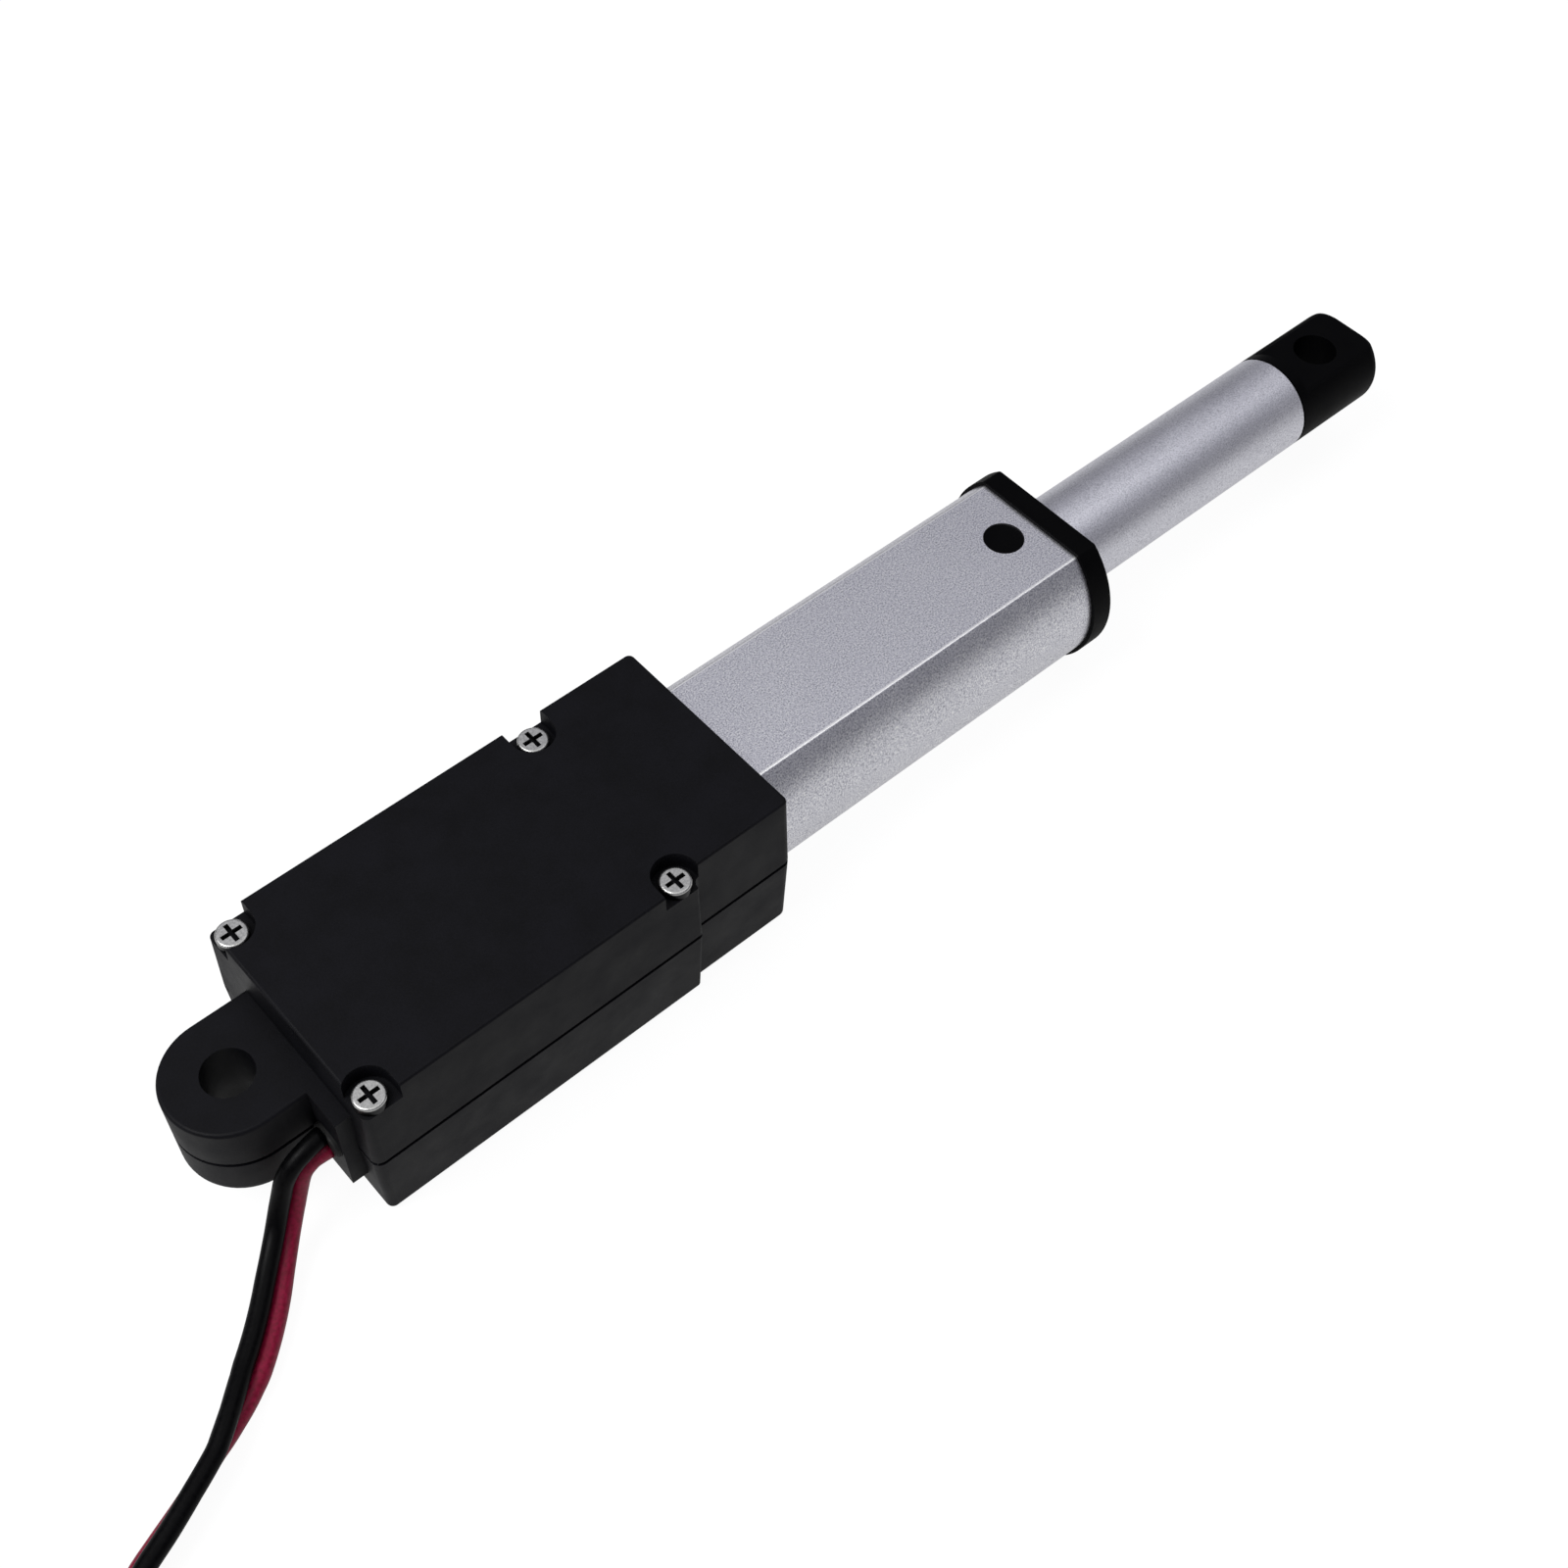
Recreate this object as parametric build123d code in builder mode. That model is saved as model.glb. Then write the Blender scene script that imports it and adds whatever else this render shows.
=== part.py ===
from build123d import *
import math
import os

os.makedirs("parts", exist_ok=True)

# Miniature electric linear actuator, rod fully out, lying on the underside of its housing.
# x runs forward along the stroke, y to the left and z up; the origin is the middle of the rear pivot hole.
# Lengths are millimetres, angles are degrees.

# Stroke, rod and drive
stroke = 30.0
rod_diameter = 9.0
rod_wall = 1.0
screw_diameter = 4.0
screw_lead = 1.0
rest_gap = 0.2

# Clearances: running is radial between turning parts, sliding is for the guided block
running_clearance = 0.04
sliding_clearance = 0.15
seat_clearance = 0.05

# Housing, measured where the two shells meet; it leans in by the draft towards its top and bottom
housing_rear = 4.45
housing_length = 39.6
housing_left = 9.65
housing_right = 10.75
housing_height = 15.7
front_step = 0.8
front_step_length = 9.6
draft = 2.0
corner_radius = 0.8
housing_wall = 1.5
rear_wall = 2.0
upper_edge_radius = 0.25
lower_edge_radius = 0.8
split_groove_depth = 0.25
split_groove_height = 0.2
rib_inset = 3.0
rib_width = 1.0
rib_root = 0.3
wire_channel_y = -5.5

# Rear pivot lug and the block that the lead comes out of
pivot_diameter = 4.0
lug_width = 10.0
lug_height = 8.7
lug_edge_radius = 0.3
lug_lower_edge_radius = 1.1
block_depth = 1.15
block_right = 8.4
lead_y = -6.6
grommet_width = 3.15
grommet_height = 2.2
grommet_proud = 0.4

# Housing screws
screw_x_spacing = 27.05
screw_y_spacing = 17.2
screw_rear_x = 5.95
screw_left_y = 7.9
head_diameter = 2.5
head_height = 0.85
shank_diameter = 1.6
shank_length = 9.0
cross_width = 0.38
cross_length = 1.7
cross_depth = 0.4
head_edge_radius = 0.2
pocket_radius = 1.85
pocket_depth = 1.6
boss_radius = 1.9

# Outer tube, a round section with a flat top and bottom
tube_radius = 8.2
tube_height = 12.2
tube_wall = 1.0
tube_edge_radius = 0.25
peg_radius = 1.3
snap_radius = 1.7
snap_setback = 3.1
peg_setback = 3.8

# Front cap and its seal
cap_thickness = 2.1
cap_overhang = 0.35
plug_length = 5.5
seal_section = 1.0
cap_corner_radius = 0.4
cap_edge_radius = 0.2
boss_sink = 0.15

# Rod tip
tip_length = 10.9
tip_flat_height = 6.4
tip_hole_setback = 5.1
tip_end_radius = 1.2
tip_edge_radius = 0.2
tip_collar = 0.9
spigot_length = 5.0
rod_edge = 0.2

# Guided block and nut
carrier_length = 6.5
carrier_rear_gap = 0.8
carrier_front_gap = 0.6
carrier_right = 4.6
carrier_spigot = 4.0
nut_diameter = 5.6
nut_flange_diameter = 7.4
nut_flange = 1.0
nut_length = 8.5

# Motor
motor_diameter = 12.0
motor_height = 10.0
can_length = 15.0
can_wall = 0.5
motor_back_gap = 0.55
end_cap_proud = 1.3
end_cap_depth = 2.0
motor_shaft_diameter = 1.0
armature_diameter = 7.4
armature_length = 7.5
magnet_thickness = 1.1
commutator_diameter = 2.6
commutator_length = 2.0
motor_bush_diameter = 3.0
bush_length = 2.0
brush_room = 0.6
brush_length = 1.0
shaft_end_gap = 0.2
slot_depth = 1.6
slot_width = 0.7
winding_diameter = 6.0
winding_length = 1.2
terminal_size = 0.9
terminal_inset = 0.2

# Gear train: four equal steps that run back and forth between two shafts
gear_module = 0.2
pinion_teeth = 10
wheel_teeth = 24
tooth_backlash = 0.05
pressure_angle = 20.0
gear_width = 1.2
gear_gap = 0.4
plate_thickness = 0.8
front_plate_thickness = 1.0
idler_pin_diameter = 1.0
post_diameter = 1.6

# Ball bearing behind the screw's collar
bearing_diameter = 6.0
bearing_bore = 3.0
bearing_width = 2.5
bearing_balls_count = 7
ball_diameter = 0.88
race_thickness = 0.45
shoulder = 0.4
shoulder_radius = 2.5
bulkhead_end = 0.7
clip_thickness = 0.3
clip_diameter = 4.8
collar_diameter = 4.4
collar_width = 0.8
clip_bore_radius = 1.1
cage_width = 1.3
cage_thickness = 0.26
output_seat_radius = 1.0
screw_end_chamfer = 0.4

# Circuit board with the two end-of-stroke switches
board_thickness = 0.6
board_height = 6.4
board_gap = 1.0
switch_length = 2.2
switch_width = 2.0
switch_thickness = 0.85
switch_z = 2.2
plunger_size = 0.8
plunger_travel = 0.3
plunger_proud = 0.4
plunger_stem = 0.4
plunger_clearance = 0.03
trip_gap = 0.05
wire_diameter = 1.0
supply_wire_z = 0.6
motor_wire_z = 1.9
pad_size = 0.8
pad_thickness = 0.1
pad_inset = 0.2
pad_length = 1.8
diode_gap = 4.0
diode_length = 2.6
diode_width = 1.6
diode_height = 0.8

# Twin lead, the tied coil of its unseen length and the connector at its end
lead_width = 3.0
lead_thickness = 1.5
lead_bends = [
    (0.4, -6.6, 0.0),
    (-1.3, -6.9, -3.6),
    (-3.4, -8.3, -5.7),
    (-7.6, -12.7, -6.35),
    (-12.2, -16.7, -6.35),
    (-18.0, -19.6, -6.35),
    (-25.5, -22.9, -6.35),
    (-31.7, -31.2, -6.1),
]
coil_centre = (-48.2, -25.4)
coil_entry_angle = -45.0
coil_radius = 15.0
coil_turn_pitch = 1.6
coil_lift = 0.35
connector_length = 8.0
connector_width = 5.8
connector_height = 4.5
connector_angle = -125.0
socket_size = 1.3
socket_depth = 5.0
socket_spacing = 2.5

# Stations along the stroke, each built on the one before it
half_height = housing_height / 2
lug_half = lug_height / 2
housing_front = housing_rear + housing_length
cavity_rear = housing_rear + rear_wall
motor_rear = cavity_rear + motor_back_gap
can_rear = motor_rear + end_cap_proud
can_front = can_rear + can_length
gears_start = can_front + plate_thickness + gear_gap
gear_step = gear_width + gear_gap
front_plate_rear = gears_start + 4 * gear_step
front_plate_front = front_plate_rear + front_plate_thickness
bearing_rear = front_plate_front + shoulder + seat_clearance
bearing_front = bearing_rear + bearing_width
collar_front = bearing_front + collar_width
bulkhead_rear = bearing_rear - shoulder
bulkhead_front = bearing_front + bulkhead_end
tube_rear = bulkhead_front + 0.5
tube_front = (
    tube_rear + carrier_rear_gap + carrier_length + stroke + carrier_front_gap + plug_length
)
cap_front = tube_front + cap_thickness
rod_front = cap_front + rest_gap + stroke
tip_front = rod_front + tip_length
tip_hole_x = tip_front - tip_hole_setback
plug_rear = tube_front - plug_length
carrier_front = plug_rear - carrier_front_gap
carrier_rear = carrier_front - carrier_length
screw_front = carrier_rear + 6.0
snap_x = tube_front - snap_setback
peg_x = tube_rear + peg_setback
step_x = housing_front - front_step_length

# Derived radii and heights
rod_radius = rod_diameter / 2
rod_bore_radius = rod_radius - rod_wall
motor_radius = motor_diameter / 2
tube_inner_radius = tube_radius - tube_wall
tube_half = tube_height / 2
tube_inner_half = tube_half - tube_wall
ledge_z = half_height - pocket_depth
shaft_spacing = gear_module * (pinion_teeth + wheel_teeth) / 2
half_tooth = 180 / wheel_teeth
screw_spots = [
    (screw_rear_x, screw_left_y),
    (screw_rear_x + screw_x_spacing, screw_left_y),
    (screw_rear_x + screw_x_spacing, screw_left_y - screw_y_spacing),
    (screw_rear_x, screw_left_y - screw_y_spacing),
]
board_outer = -math.sqrt((tube_inner_radius - seat_clearance) ** 2 - (board_height / 2) ** 2)
board_inner = board_outer + board_thickness
wire_y = board_outer - pad_thickness - wire_diameter / 2
switch_face = board_inner + switch_thickness
rear_plunger_x = carrier_rear - stroke - trip_gap - plunger_size / 2
front_plunger_x = carrier_front + trip_gap + plunger_size / 2
board_rear = bulkhead_rear - 3.4
board_front = front_plunger_x + switch_length / 2 + board_gap
floor_z = -half_height


def across(x, y=0.0, z=0.0):
    """Plane that faces forward at x, with its own x to the left and its own y up."""
    return Plane(origin=(x, y, z), x_dir=(0, 1, 0), z_dir=(1, 0, 0))


def disc(x, radius, length, y=0.0, z=0.0, mode=Mode.ADD):
    """Round piece along the stroke, from x forward by length."""
    with BuildSketch(across(x, y, z)) as profile:
        Circle(radius)
    extrude(profile.sketch, amount=length, mode=mode)


def flatted_bar(x, radius, half_flat, length, mode=Mode.ADD):
    """Bar along the stroke whose round section has a flat top and bottom."""
    with BuildSketch(across(x)) as profile:
        Circle(radius)
        Rectangle(2 * radius, 2 * half_flat, mode=Mode.INTERSECT)
    extrude(profile.sketch, amount=length, mode=mode)


def brick(x_span, y_span, z_span, mode=Mode.ADD):
    """Box given by its lowest and highest x, y and z."""
    with BuildSketch(Plane.XY.offset(z_span[0])) as profile:
        with Locations(((x_span[0] + x_span[1]) / 2, (y_span[0] + y_span[1]) / 2)):
            Rectangle(x_span[1] - x_span[0], y_span[1] - y_span[0])
    extrude(profile.sketch, amount=z_span[1] - z_span[0], mode=mode)


def post(x, y, z, radius, height, mode=Mode.ADD):
    """Upright round piece that starts at z."""
    with BuildSketch(Plane.XY.offset(z)) as profile:
        with Locations((x, y)):
            Circle(radius)
    extrude(profile.sketch, amount=height, mode=mode)


def save(piece, name):
    piece.part.label = name
    export_step(piece.part, f"parts/{name}.step")


# Housing: both shells start as the same half, which is mirrored for the lower one


def outline_points(inset):
    """Plan of the housing where the shells meet: wide at the rear right, narrower past the step."""
    rear = housing_rear + inset
    front = housing_front - inset
    left = housing_left - inset
    right = -housing_right + inset
    step = step_x - inset
    return [
        (rear, left),
        (rear, right),
        (step, right),
        (step, right + front_step),
        (front, right + front_step),
        (front, left),
    ]


def half_shell(edge_radius, lug_radius):
    """Upper half of the housing above the split, hollow, with the lug and the lead's block."""
    cavity_half = half_height - housing_wall
    cavity_left = housing_left - housing_wall
    cavity_right = -housing_right + housing_wall
    with BuildSketch() as outline:
        Polygon(*outline_points(0), align=None)
        corners = outline.vertices().group_by(Axis.X)
        fillet(corners[1], radius=front_step / 2)
        corners = outline.vertices().group_by(Axis.X)
        fillet(corners[0] + corners[-1], radius=corner_radius)
    with BuildPart(mode=Mode.PRIVATE) as outer_form:
        extrude(outline.sketch, amount=half_height, taper=draft)
        fillet(outer_form.faces().sort_by(Axis.Z)[-1].edges(), radius=edge_radius)
    add(outer_form.part)

    # hollow, with two ribs that hold the motor and a bulkhead that holds the bearing
    brick((cavity_rear, bulkhead_rear), (cavity_right, cavity_left), (0, cavity_half), Mode.SUBTRACT)
    for rib_x in (can_rear + rib_inset, can_front - rib_inset - rib_width):
        brick(
            (rib_x, rib_x + rib_width),
            (cavity_right - rib_root, cavity_left + rib_root),
            (0, cavity_half + rib_root),
        )
    flatted_bar(
        cavity_rear,
        motor_radius + seat_clearance,
        motor_height / 2 + seat_clearance,
        can_front - cavity_rear,
        Mode.SUBTRACT,
    )
    wire_room = motor_wire_z + wire_diameter
    brick((cavity_rear, bulkhead_rear), (cavity_right, wire_channel_y), (0, wire_room), Mode.SUBTRACT)
    for x, y in screw_spots:
        post(x, y, 0, boss_radius, ledge_z)
    add(outer_form.part, mode=Mode.INTERSECT)
    flatted_bar(
        tube_rear - seat_clearance,
        tube_radius + seat_clearance,
        tube_half + seat_clearance,
        housing_length,
        Mode.SUBTRACT,
    )
    post(peg_x, 0, tube_inner_half + seat_clearance, peg_radius, half_height - tube_half)

    # bearing seat, shoulders on both sides of it, and the slot for the circuit board
    disc(bulkhead_rear, shoulder_radius, tube_rear - bulkhead_rear, mode=Mode.SUBTRACT)
    disc(bearing_rear, bearing_diameter / 2, bearing_width, mode=Mode.SUBTRACT)
    brick(
        (bulkhead_rear, tube_rear),
        (wire_y - wire_diameter, switch_face + seat_clearance),
        (0, board_height / 2 + seat_clearance),
        Mode.SUBTRACT,
    )

    # lug and the block beside it
    brick(
        (housing_rear - block_depth, housing_rear + rear_wall),
        (-block_right, -lug_width / 2 + 1),
        (0, lug_half),
    )
    with BuildSketch() as lug_plan:
        Circle(lug_width / 2)
        with Locations(((housing_rear + rear_wall) / 2, 0)):
            Rectangle(housing_rear + rear_wall, lug_width)
    with BuildPart(mode=Mode.PRIVATE) as lug:
        extrude(lug_plan.sketch, amount=lug_half)
        rim = lug.faces().sort_by(Axis.Z)[-1].edges()
        fillet(rim.sort_by(Axis.X)[:-1], radius=lug_radius)
    add(lug.part)

    # pivot hole, hole for the lead's grommet, and the fine groove round the joint between the shells
    post(0, 0, 0, pivot_diameter / 2, lug_half, Mode.SUBTRACT)
    with BuildSketch(across(housing_rear - block_depth, lead_y)) as lead_hole:
        SlotOverall(grommet_width, grommet_height)
    extrude(lead_hole.sketch, amount=block_depth + rear_wall, mode=Mode.SUBTRACT)
    with BuildSketch() as rim_groove:
        Polygon(*outline_points(-split_groove_depth), align=None)
        Polygon(*outline_points(split_groove_depth), align=None, mode=Mode.SUBTRACT)
    with BuildSketch() as rear_room:
        with Locations((housing_rear, 0)):
            Rectangle(2 * split_groove_depth + 0.1, 2 * block_right)
    groove = rim_groove.sketch - rear_room.sketch
    extrude(groove, amount=split_groove_height, mode=Mode.SUBTRACT)
    lug_length = housing_rear - block_depth
    with BuildSketch() as lug_groove:
        Circle(lug_width / 2)
        with Locations((lug_length / 2, 0)):
            Rectangle(lug_length, lug_width)
        Circle(lug_width / 2 - split_groove_depth, mode=Mode.SUBTRACT)
        with Locations((lug_length / 2, 0)):
            Rectangle(lug_length, lug_width - 2 * split_groove_depth, mode=Mode.SUBTRACT)
    extrude(lug_groove.sketch, amount=split_groove_height, mode=Mode.SUBTRACT)
    below = Plane.XY.offset(-half_height)
    with BuildSketch(below) as under:
        Rectangle(4 * housing_length, 4 * housing_left)
    extrude(under.sketch, amount=half_height, mode=Mode.SUBTRACT)


with BuildPart() as upper_shell:
    half_shell(upper_edge_radius, lug_edge_radius)
    for x, y in screw_spots:
        side = 1 if y > 0 else -1
        with BuildSketch(Plane.XY.offset(ledge_z)) as pocket:
            with Locations((x, y + side * pocket_radius)):
                Rectangle(2 * pocket_radius, 2 * pocket_radius)
            with Locations((x, y)):
                Circle(pocket_radius)
        extrude(pocket.sketch, amount=pocket_depth, mode=Mode.SUBTRACT)
        post(x, y, 0, shank_diameter / 2 + seat_clearance, ledge_z, Mode.SUBTRACT)
save(upper_shell, "upper_shell")

with BuildPart() as lower_shell:
    half_shell(lower_edge_radius, lug_lower_edge_radius)
    mirror(about=Plane.XY, mode=Mode.REPLACE)
    for x, y in screw_spots:
        pilot_depth = shank_length - ledge_z + 0.3
        post(x, y, -pilot_depth, shank_diameter / 2, pilot_depth, Mode.SUBTRACT)
save(lower_shell, "lower_shell")

with BuildPart() as shell_screws:
    for x, y in screw_spots:
        post(x, y, ledge_z - shank_length, shank_diameter / 2, shank_length)
        post(x, y, ledge_z, head_diameter / 2, head_height)
    rims = edges().filter_by(GeomType.CIRCLE).group_by(Axis.Z)[-1]
    fillet(rims, radius=head_edge_radius)
    cross_z = ledge_z + head_height - cross_depth
    for x, y in screw_spots:
        for long_side, short_side in ((cross_length, cross_width), (cross_width, cross_length)):
            brick(
                (x - long_side / 2, x + long_side / 2),
                (y - short_side / 2, y + short_side / 2),
                (cross_z, cross_z + cross_depth),
                Mode.SUBTRACT,
            )
save(shell_screws, "shell_screws")

with BuildPart() as cable_grommet:
    with BuildSketch(across(housing_rear - block_depth - grommet_proud, lead_y)) as oval:
        SlotOverall(grommet_width, grommet_height)
    extrude(oval.sketch, amount=grommet_proud + block_depth + rear_wall)
    outer_rim = faces().sort_by(Axis.X)[0].edges()
    fillet(outer_rim, radius=grommet_proud / 2)
save(cable_grommet, "cable_grommet")

# Tube, front cap and seal

with BuildPart() as outer_tube:
    flatted_bar(tube_rear, tube_radius, tube_half, tube_front - tube_rear)
    long_edges = edges().filter_by(Axis.X)
    fillet(long_edges, radius=tube_edge_radius)
    flatted_bar(tube_rear, tube_inner_radius, tube_inner_half, tube_front - tube_rear, Mode.SUBTRACT)
    for x, radius in ((snap_x, snap_radius), (peg_x, peg_radius)):
        post(x, 0, -tube_half, radius + seat_clearance, tube_height, Mode.SUBTRACT)
save(outer_tube, "outer_tube")

with BuildPart() as front_cap:
    cap_radius = tube_radius + cap_overhang
    cap_half = tube_half + cap_overhang
    flatted_bar(tube_front, cap_radius, cap_half, cap_thickness)
    flange_edges = edges().filter_by(Axis.X)
    fillet(flange_edges, radius=cap_corner_radius)
    fillet(faces().sort_by(Axis.X)[-1].edges(), radius=cap_edge_radius)
    plug_radius = tube_inner_radius - seat_clearance
    plug_half = tube_inner_half - seat_clearance
    flatted_bar(plug_rear, plug_radius, plug_half, plug_length)
    post(snap_x, 0, -tube_half + boss_sink, snap_radius, tube_height - 2 * boss_sink)
    disc(plug_rear, rod_radius + seat_clearance, cap_front - plug_rear, mode=Mode.SUBTRACT)
    seal_x = tube_front + (cap_thickness - seal_section) / 2
    disc(seal_x, rod_radius + seal_section, seal_section, mode=Mode.SUBTRACT)
    brick(
        (plug_rear, board_front + seat_clearance),
        (-tube_radius, -carrier_right),
        (-board_height / 2 - seat_clearance, board_height / 2 + seat_clearance),
        Mode.SUBTRACT,
    )
save(front_cap, "front_cap")

with BuildPart() as rod_seal:
    disc(seal_x, rod_radius + seal_section, seal_section)
    disc(seal_x, rod_radius + running_clearance, seal_section, mode=Mode.SUBTRACT)
    inner_rims = edges().filter_by(GeomType.CIRCLE).sort_by(SortBy.RADIUS)[:2]
    chamfer(inner_rims, length=seal_section / 4)
save(rod_seal, "rod_seal")

# Rod, tip, guided block and nut

with BuildPart() as rod_tube:
    disc(carrier_front, rod_radius, rod_front - carrier_front)
    disc(carrier_front, rod_bore_radius, rod_front - carrier_front, mode=Mode.SUBTRACT)
    front_rim = edges().filter_by(GeomType.CIRCLE).group_by(Axis.X)[-1]
    chamfer(front_rim.sort_by(SortBy.RADIUS)[-1], length=rod_edge)
save(rod_tube, "rod_tube")

with BuildPart() as rod_tip:
    disc(rod_front, rod_radius, tip_length)
    fillet(faces().sort_by(Axis.X)[-1].edges(), radius=tip_end_radius)
    for z in (tip_flat_height / 2, -rod_radius):
        brick(
            (rod_front + tip_collar, tip_front),
            (-rod_radius, rod_radius),
            (z, z + rod_radius - tip_flat_height / 2),
            Mode.SUBTRACT,
        )
    flat_sides = edges().filter_by(Axis.X).group_by(Axis.Z)
    chamfer(flat_sides[0] + flat_sides[-1], length=tip_edge_radius)
    disc(rod_front - spigot_length, rod_bore_radius, spigot_length)
    post(tip_hole_x, 0, -rod_radius, pivot_diameter / 2, rod_diameter, Mode.SUBTRACT)
save(rod_tip, "rod_tip")

with BuildPart() as nut_carrier:
    slide_radius = tube_inner_radius - sliding_clearance
    slide_half = tube_inner_half - sliding_clearance
    flatted_bar(carrier_rear, slide_radius, slide_half, carrier_length)
    brick(
        (carrier_rear, carrier_front),
        (-tube_radius, -carrier_right),
        (-tube_half, tube_half),
        Mode.SUBTRACT,
    )
    disc(carrier_front, rod_bore_radius, carrier_spigot)
    disc(carrier_rear, nut_diameter / 2, nut_length, mode=Mode.SUBTRACT)
    disc(carrier_rear, nut_flange_diameter / 2, nut_flange, mode=Mode.SUBTRACT)
    disc(carrier_rear, screw_diameter / 2 + sliding_clearance, 2 * carrier_length, mode=Mode.SUBTRACT)
save(nut_carrier, "nut_carrier")

with BuildPart() as drive_nut:
    disc(carrier_rear, nut_diameter / 2, nut_length)
    disc(carrier_rear, nut_flange_diameter / 2, nut_flange)
    disc(carrier_rear, screw_diameter / 2 + running_clearance, nut_length, mode=Mode.SUBTRACT)
save(drive_nut, "drive_nut")

# Lead screw: its thin rear end carries the second gear, then come the last gear, the bearing and the collar

with BuildPart() as lead_screw:
    thin_start = gears_start + gear_step - gear_gap / 2
    last_gear_x = gears_start + 3 * gear_step
    clip_x = bulkhead_rear + (shoulder - clip_thickness) / 2
    disc(thin_start, idler_pin_diameter / 2, last_gear_x - thin_start)
    disc(last_gear_x, output_seat_radius, gear_width)
    journal_x = last_gear_x + gear_width
    disc(journal_x, bearing_bore / 2, bearing_front - journal_x)
    disc(bearing_front, collar_diameter / 2, collar_width)
    disc(collar_front, screw_diameter / 2, screw_front - collar_front)
    chamfer(faces().sort_by(Axis.X)[-1].edges(), length=screw_end_chamfer)
    with BuildSketch(across(clip_x)) as clip_groove:
        Circle(bearing_bore / 2)
        Circle(clip_bore_radius, mode=Mode.SUBTRACT)
    extrude(clip_groove.sketch, amount=clip_thickness, mode=Mode.SUBTRACT)
save(lead_screw, "lead_screw")

with BuildPart() as retaining_clip:
    with BuildSketch(across(clip_x)) as clip:
        Circle(clip_diameter / 2)
        Circle(clip_bore_radius, mode=Mode.SUBTRACT)
        with Locations((0, -clip_diameter / 2)):
            Rectangle(clip_bore_radius, clip_diameter / 2, mode=Mode.SUBTRACT)
    extrude(clip.sketch, amount=clip_thickness)
save(retaining_clip, "retaining_clip")

# Ball bearing

ball_circle = (bearing_diameter + bearing_bore) / 4
bearing_middle = bearing_rear + bearing_width / 2


def race_groove():
    """Round groove that the balls run in."""
    with BuildSketch(Plane.XZ) as groove:
        with Locations((bearing_middle, ball_circle)):
            Circle(ball_diameter / 2 + running_clearance)
    revolve(groove.sketch, axis=Axis.X, mode=Mode.SUBTRACT)


with BuildPart() as bearing_outer_ring:
    disc(bearing_rear, bearing_diameter / 2, bearing_width)
    disc(bearing_rear, bearing_diameter / 2 - race_thickness, bearing_width, mode=Mode.SUBTRACT)
    race_groove()
save(bearing_outer_ring, "bearing_outer_ring")

with BuildPart() as bearing_inner_ring:
    disc(bearing_rear, bearing_bore / 2 + race_thickness, bearing_width)
    disc(bearing_rear, bearing_bore / 2, bearing_width, mode=Mode.SUBTRACT)
    race_groove()
save(bearing_inner_ring, "bearing_inner_ring")

ball_places = PolarLocations(ball_circle, bearing_balls_count).local_locations

with BuildPart() as bearing_balls:
    with Locations(across(bearing_middle)):
        with Locations(*ball_places):
            Sphere(ball_diameter / 2)
save(bearing_balls, "bearing_balls")

with BuildPart() as bearing_cage:
    cage_x = bearing_middle - cage_width / 2
    disc(cage_x, ball_circle + cage_thickness / 2, cage_width)
    disc(cage_x, ball_circle - cage_thickness / 2, cage_width, mode=Mode.SUBTRACT)
    for number in range(bearing_balls_count):
        turn = 360 * number / bearing_balls_count
        radial = Plane(origin=(bearing_middle, 0, 0), z_dir=(0, 1, 0)).rotated((turn, 0, 0))
        with BuildSketch(radial) as pocket:
            Circle(ball_diameter / 2 + running_clearance)
        extrude(pocket.sketch, amount=bearing_diameter / 2, mode=Mode.SUBTRACT)
save(bearing_cage, "bearing_cage")

# Gear train


def gear_points(teeth, turned):
    """Outline of a spur gear with involute flanks; turned is in degrees."""
    pitch_radius = gear_module * teeth / 2
    base_radius = pitch_radius * math.cos(math.radians(pressure_angle))
    root_radius = pitch_radius - 1.25 * gear_module
    tip_radius = pitch_radius + 0.9 * gear_module

    def involute(radius):
        angle = math.acos(min(1, base_radius / radius))
        return math.tan(angle) - angle

    middle_angle = math.pi / (2 * teeth) - tooth_backlash / (2 * pitch_radius)
    flank = [(root_radius, 0.8 * (middle_angle + involute(pitch_radius)))]
    for step in range(4):
        radius = base_radius + (tip_radius - base_radius) * step / 3
        radius = max(radius, root_radius + 0.01)
        flank.append((radius, middle_angle + involute(pitch_radius) - involute(radius)))
    outline = []
    for tooth in range(teeth):
        centre = math.radians(turned) + 2 * math.pi * tooth / teeth
        left_side = [(radius, centre - half) for radius, half in flank]
        right_side = [(radius, centre + half) for radius, half in reversed(flank)]
        outline += left_side + right_side
    return [(radius * math.cos(angle), radius * math.sin(angle)) for radius, angle in outline]


def spur_gear(x, y, teeth, turned, bore_radius, width=gear_width):
    with BuildSketch(across(x, y)) as profile:
        Polygon(*gear_points(teeth, turned), align=None)
        Circle(bore_radius, mode=Mode.SUBTRACT)
    extrude(profile.sketch, amount=width)


def compound_gear(stage, y):
    """Wheel with a pinion in front of it that drives the next stage."""
    x = gears_start + stage * gear_step
    bore = idler_pin_diameter / 2 + running_clearance
    spur_gear(x, y, wheel_teeth, half_tooth, bore)
    spur_gear(x + gear_width, y, pinion_teeth, 0, bore, gear_width + gear_gap)


with BuildPart() as motor_pinion:
    spur_gear(gears_start, 0, pinion_teeth, 0, motor_shaft_diameter / 2)
save(motor_pinion, "motor_pinion")

with BuildPart() as first_gear:
    compound_gear(0, shaft_spacing)
save(first_gear, "first_gear")

with BuildPart() as second_gear:
    compound_gear(1, 0)
save(second_gear, "second_gear")

with BuildPart() as third_gear:
    compound_gear(2, shaft_spacing)
save(third_gear, "third_gear")

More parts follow.
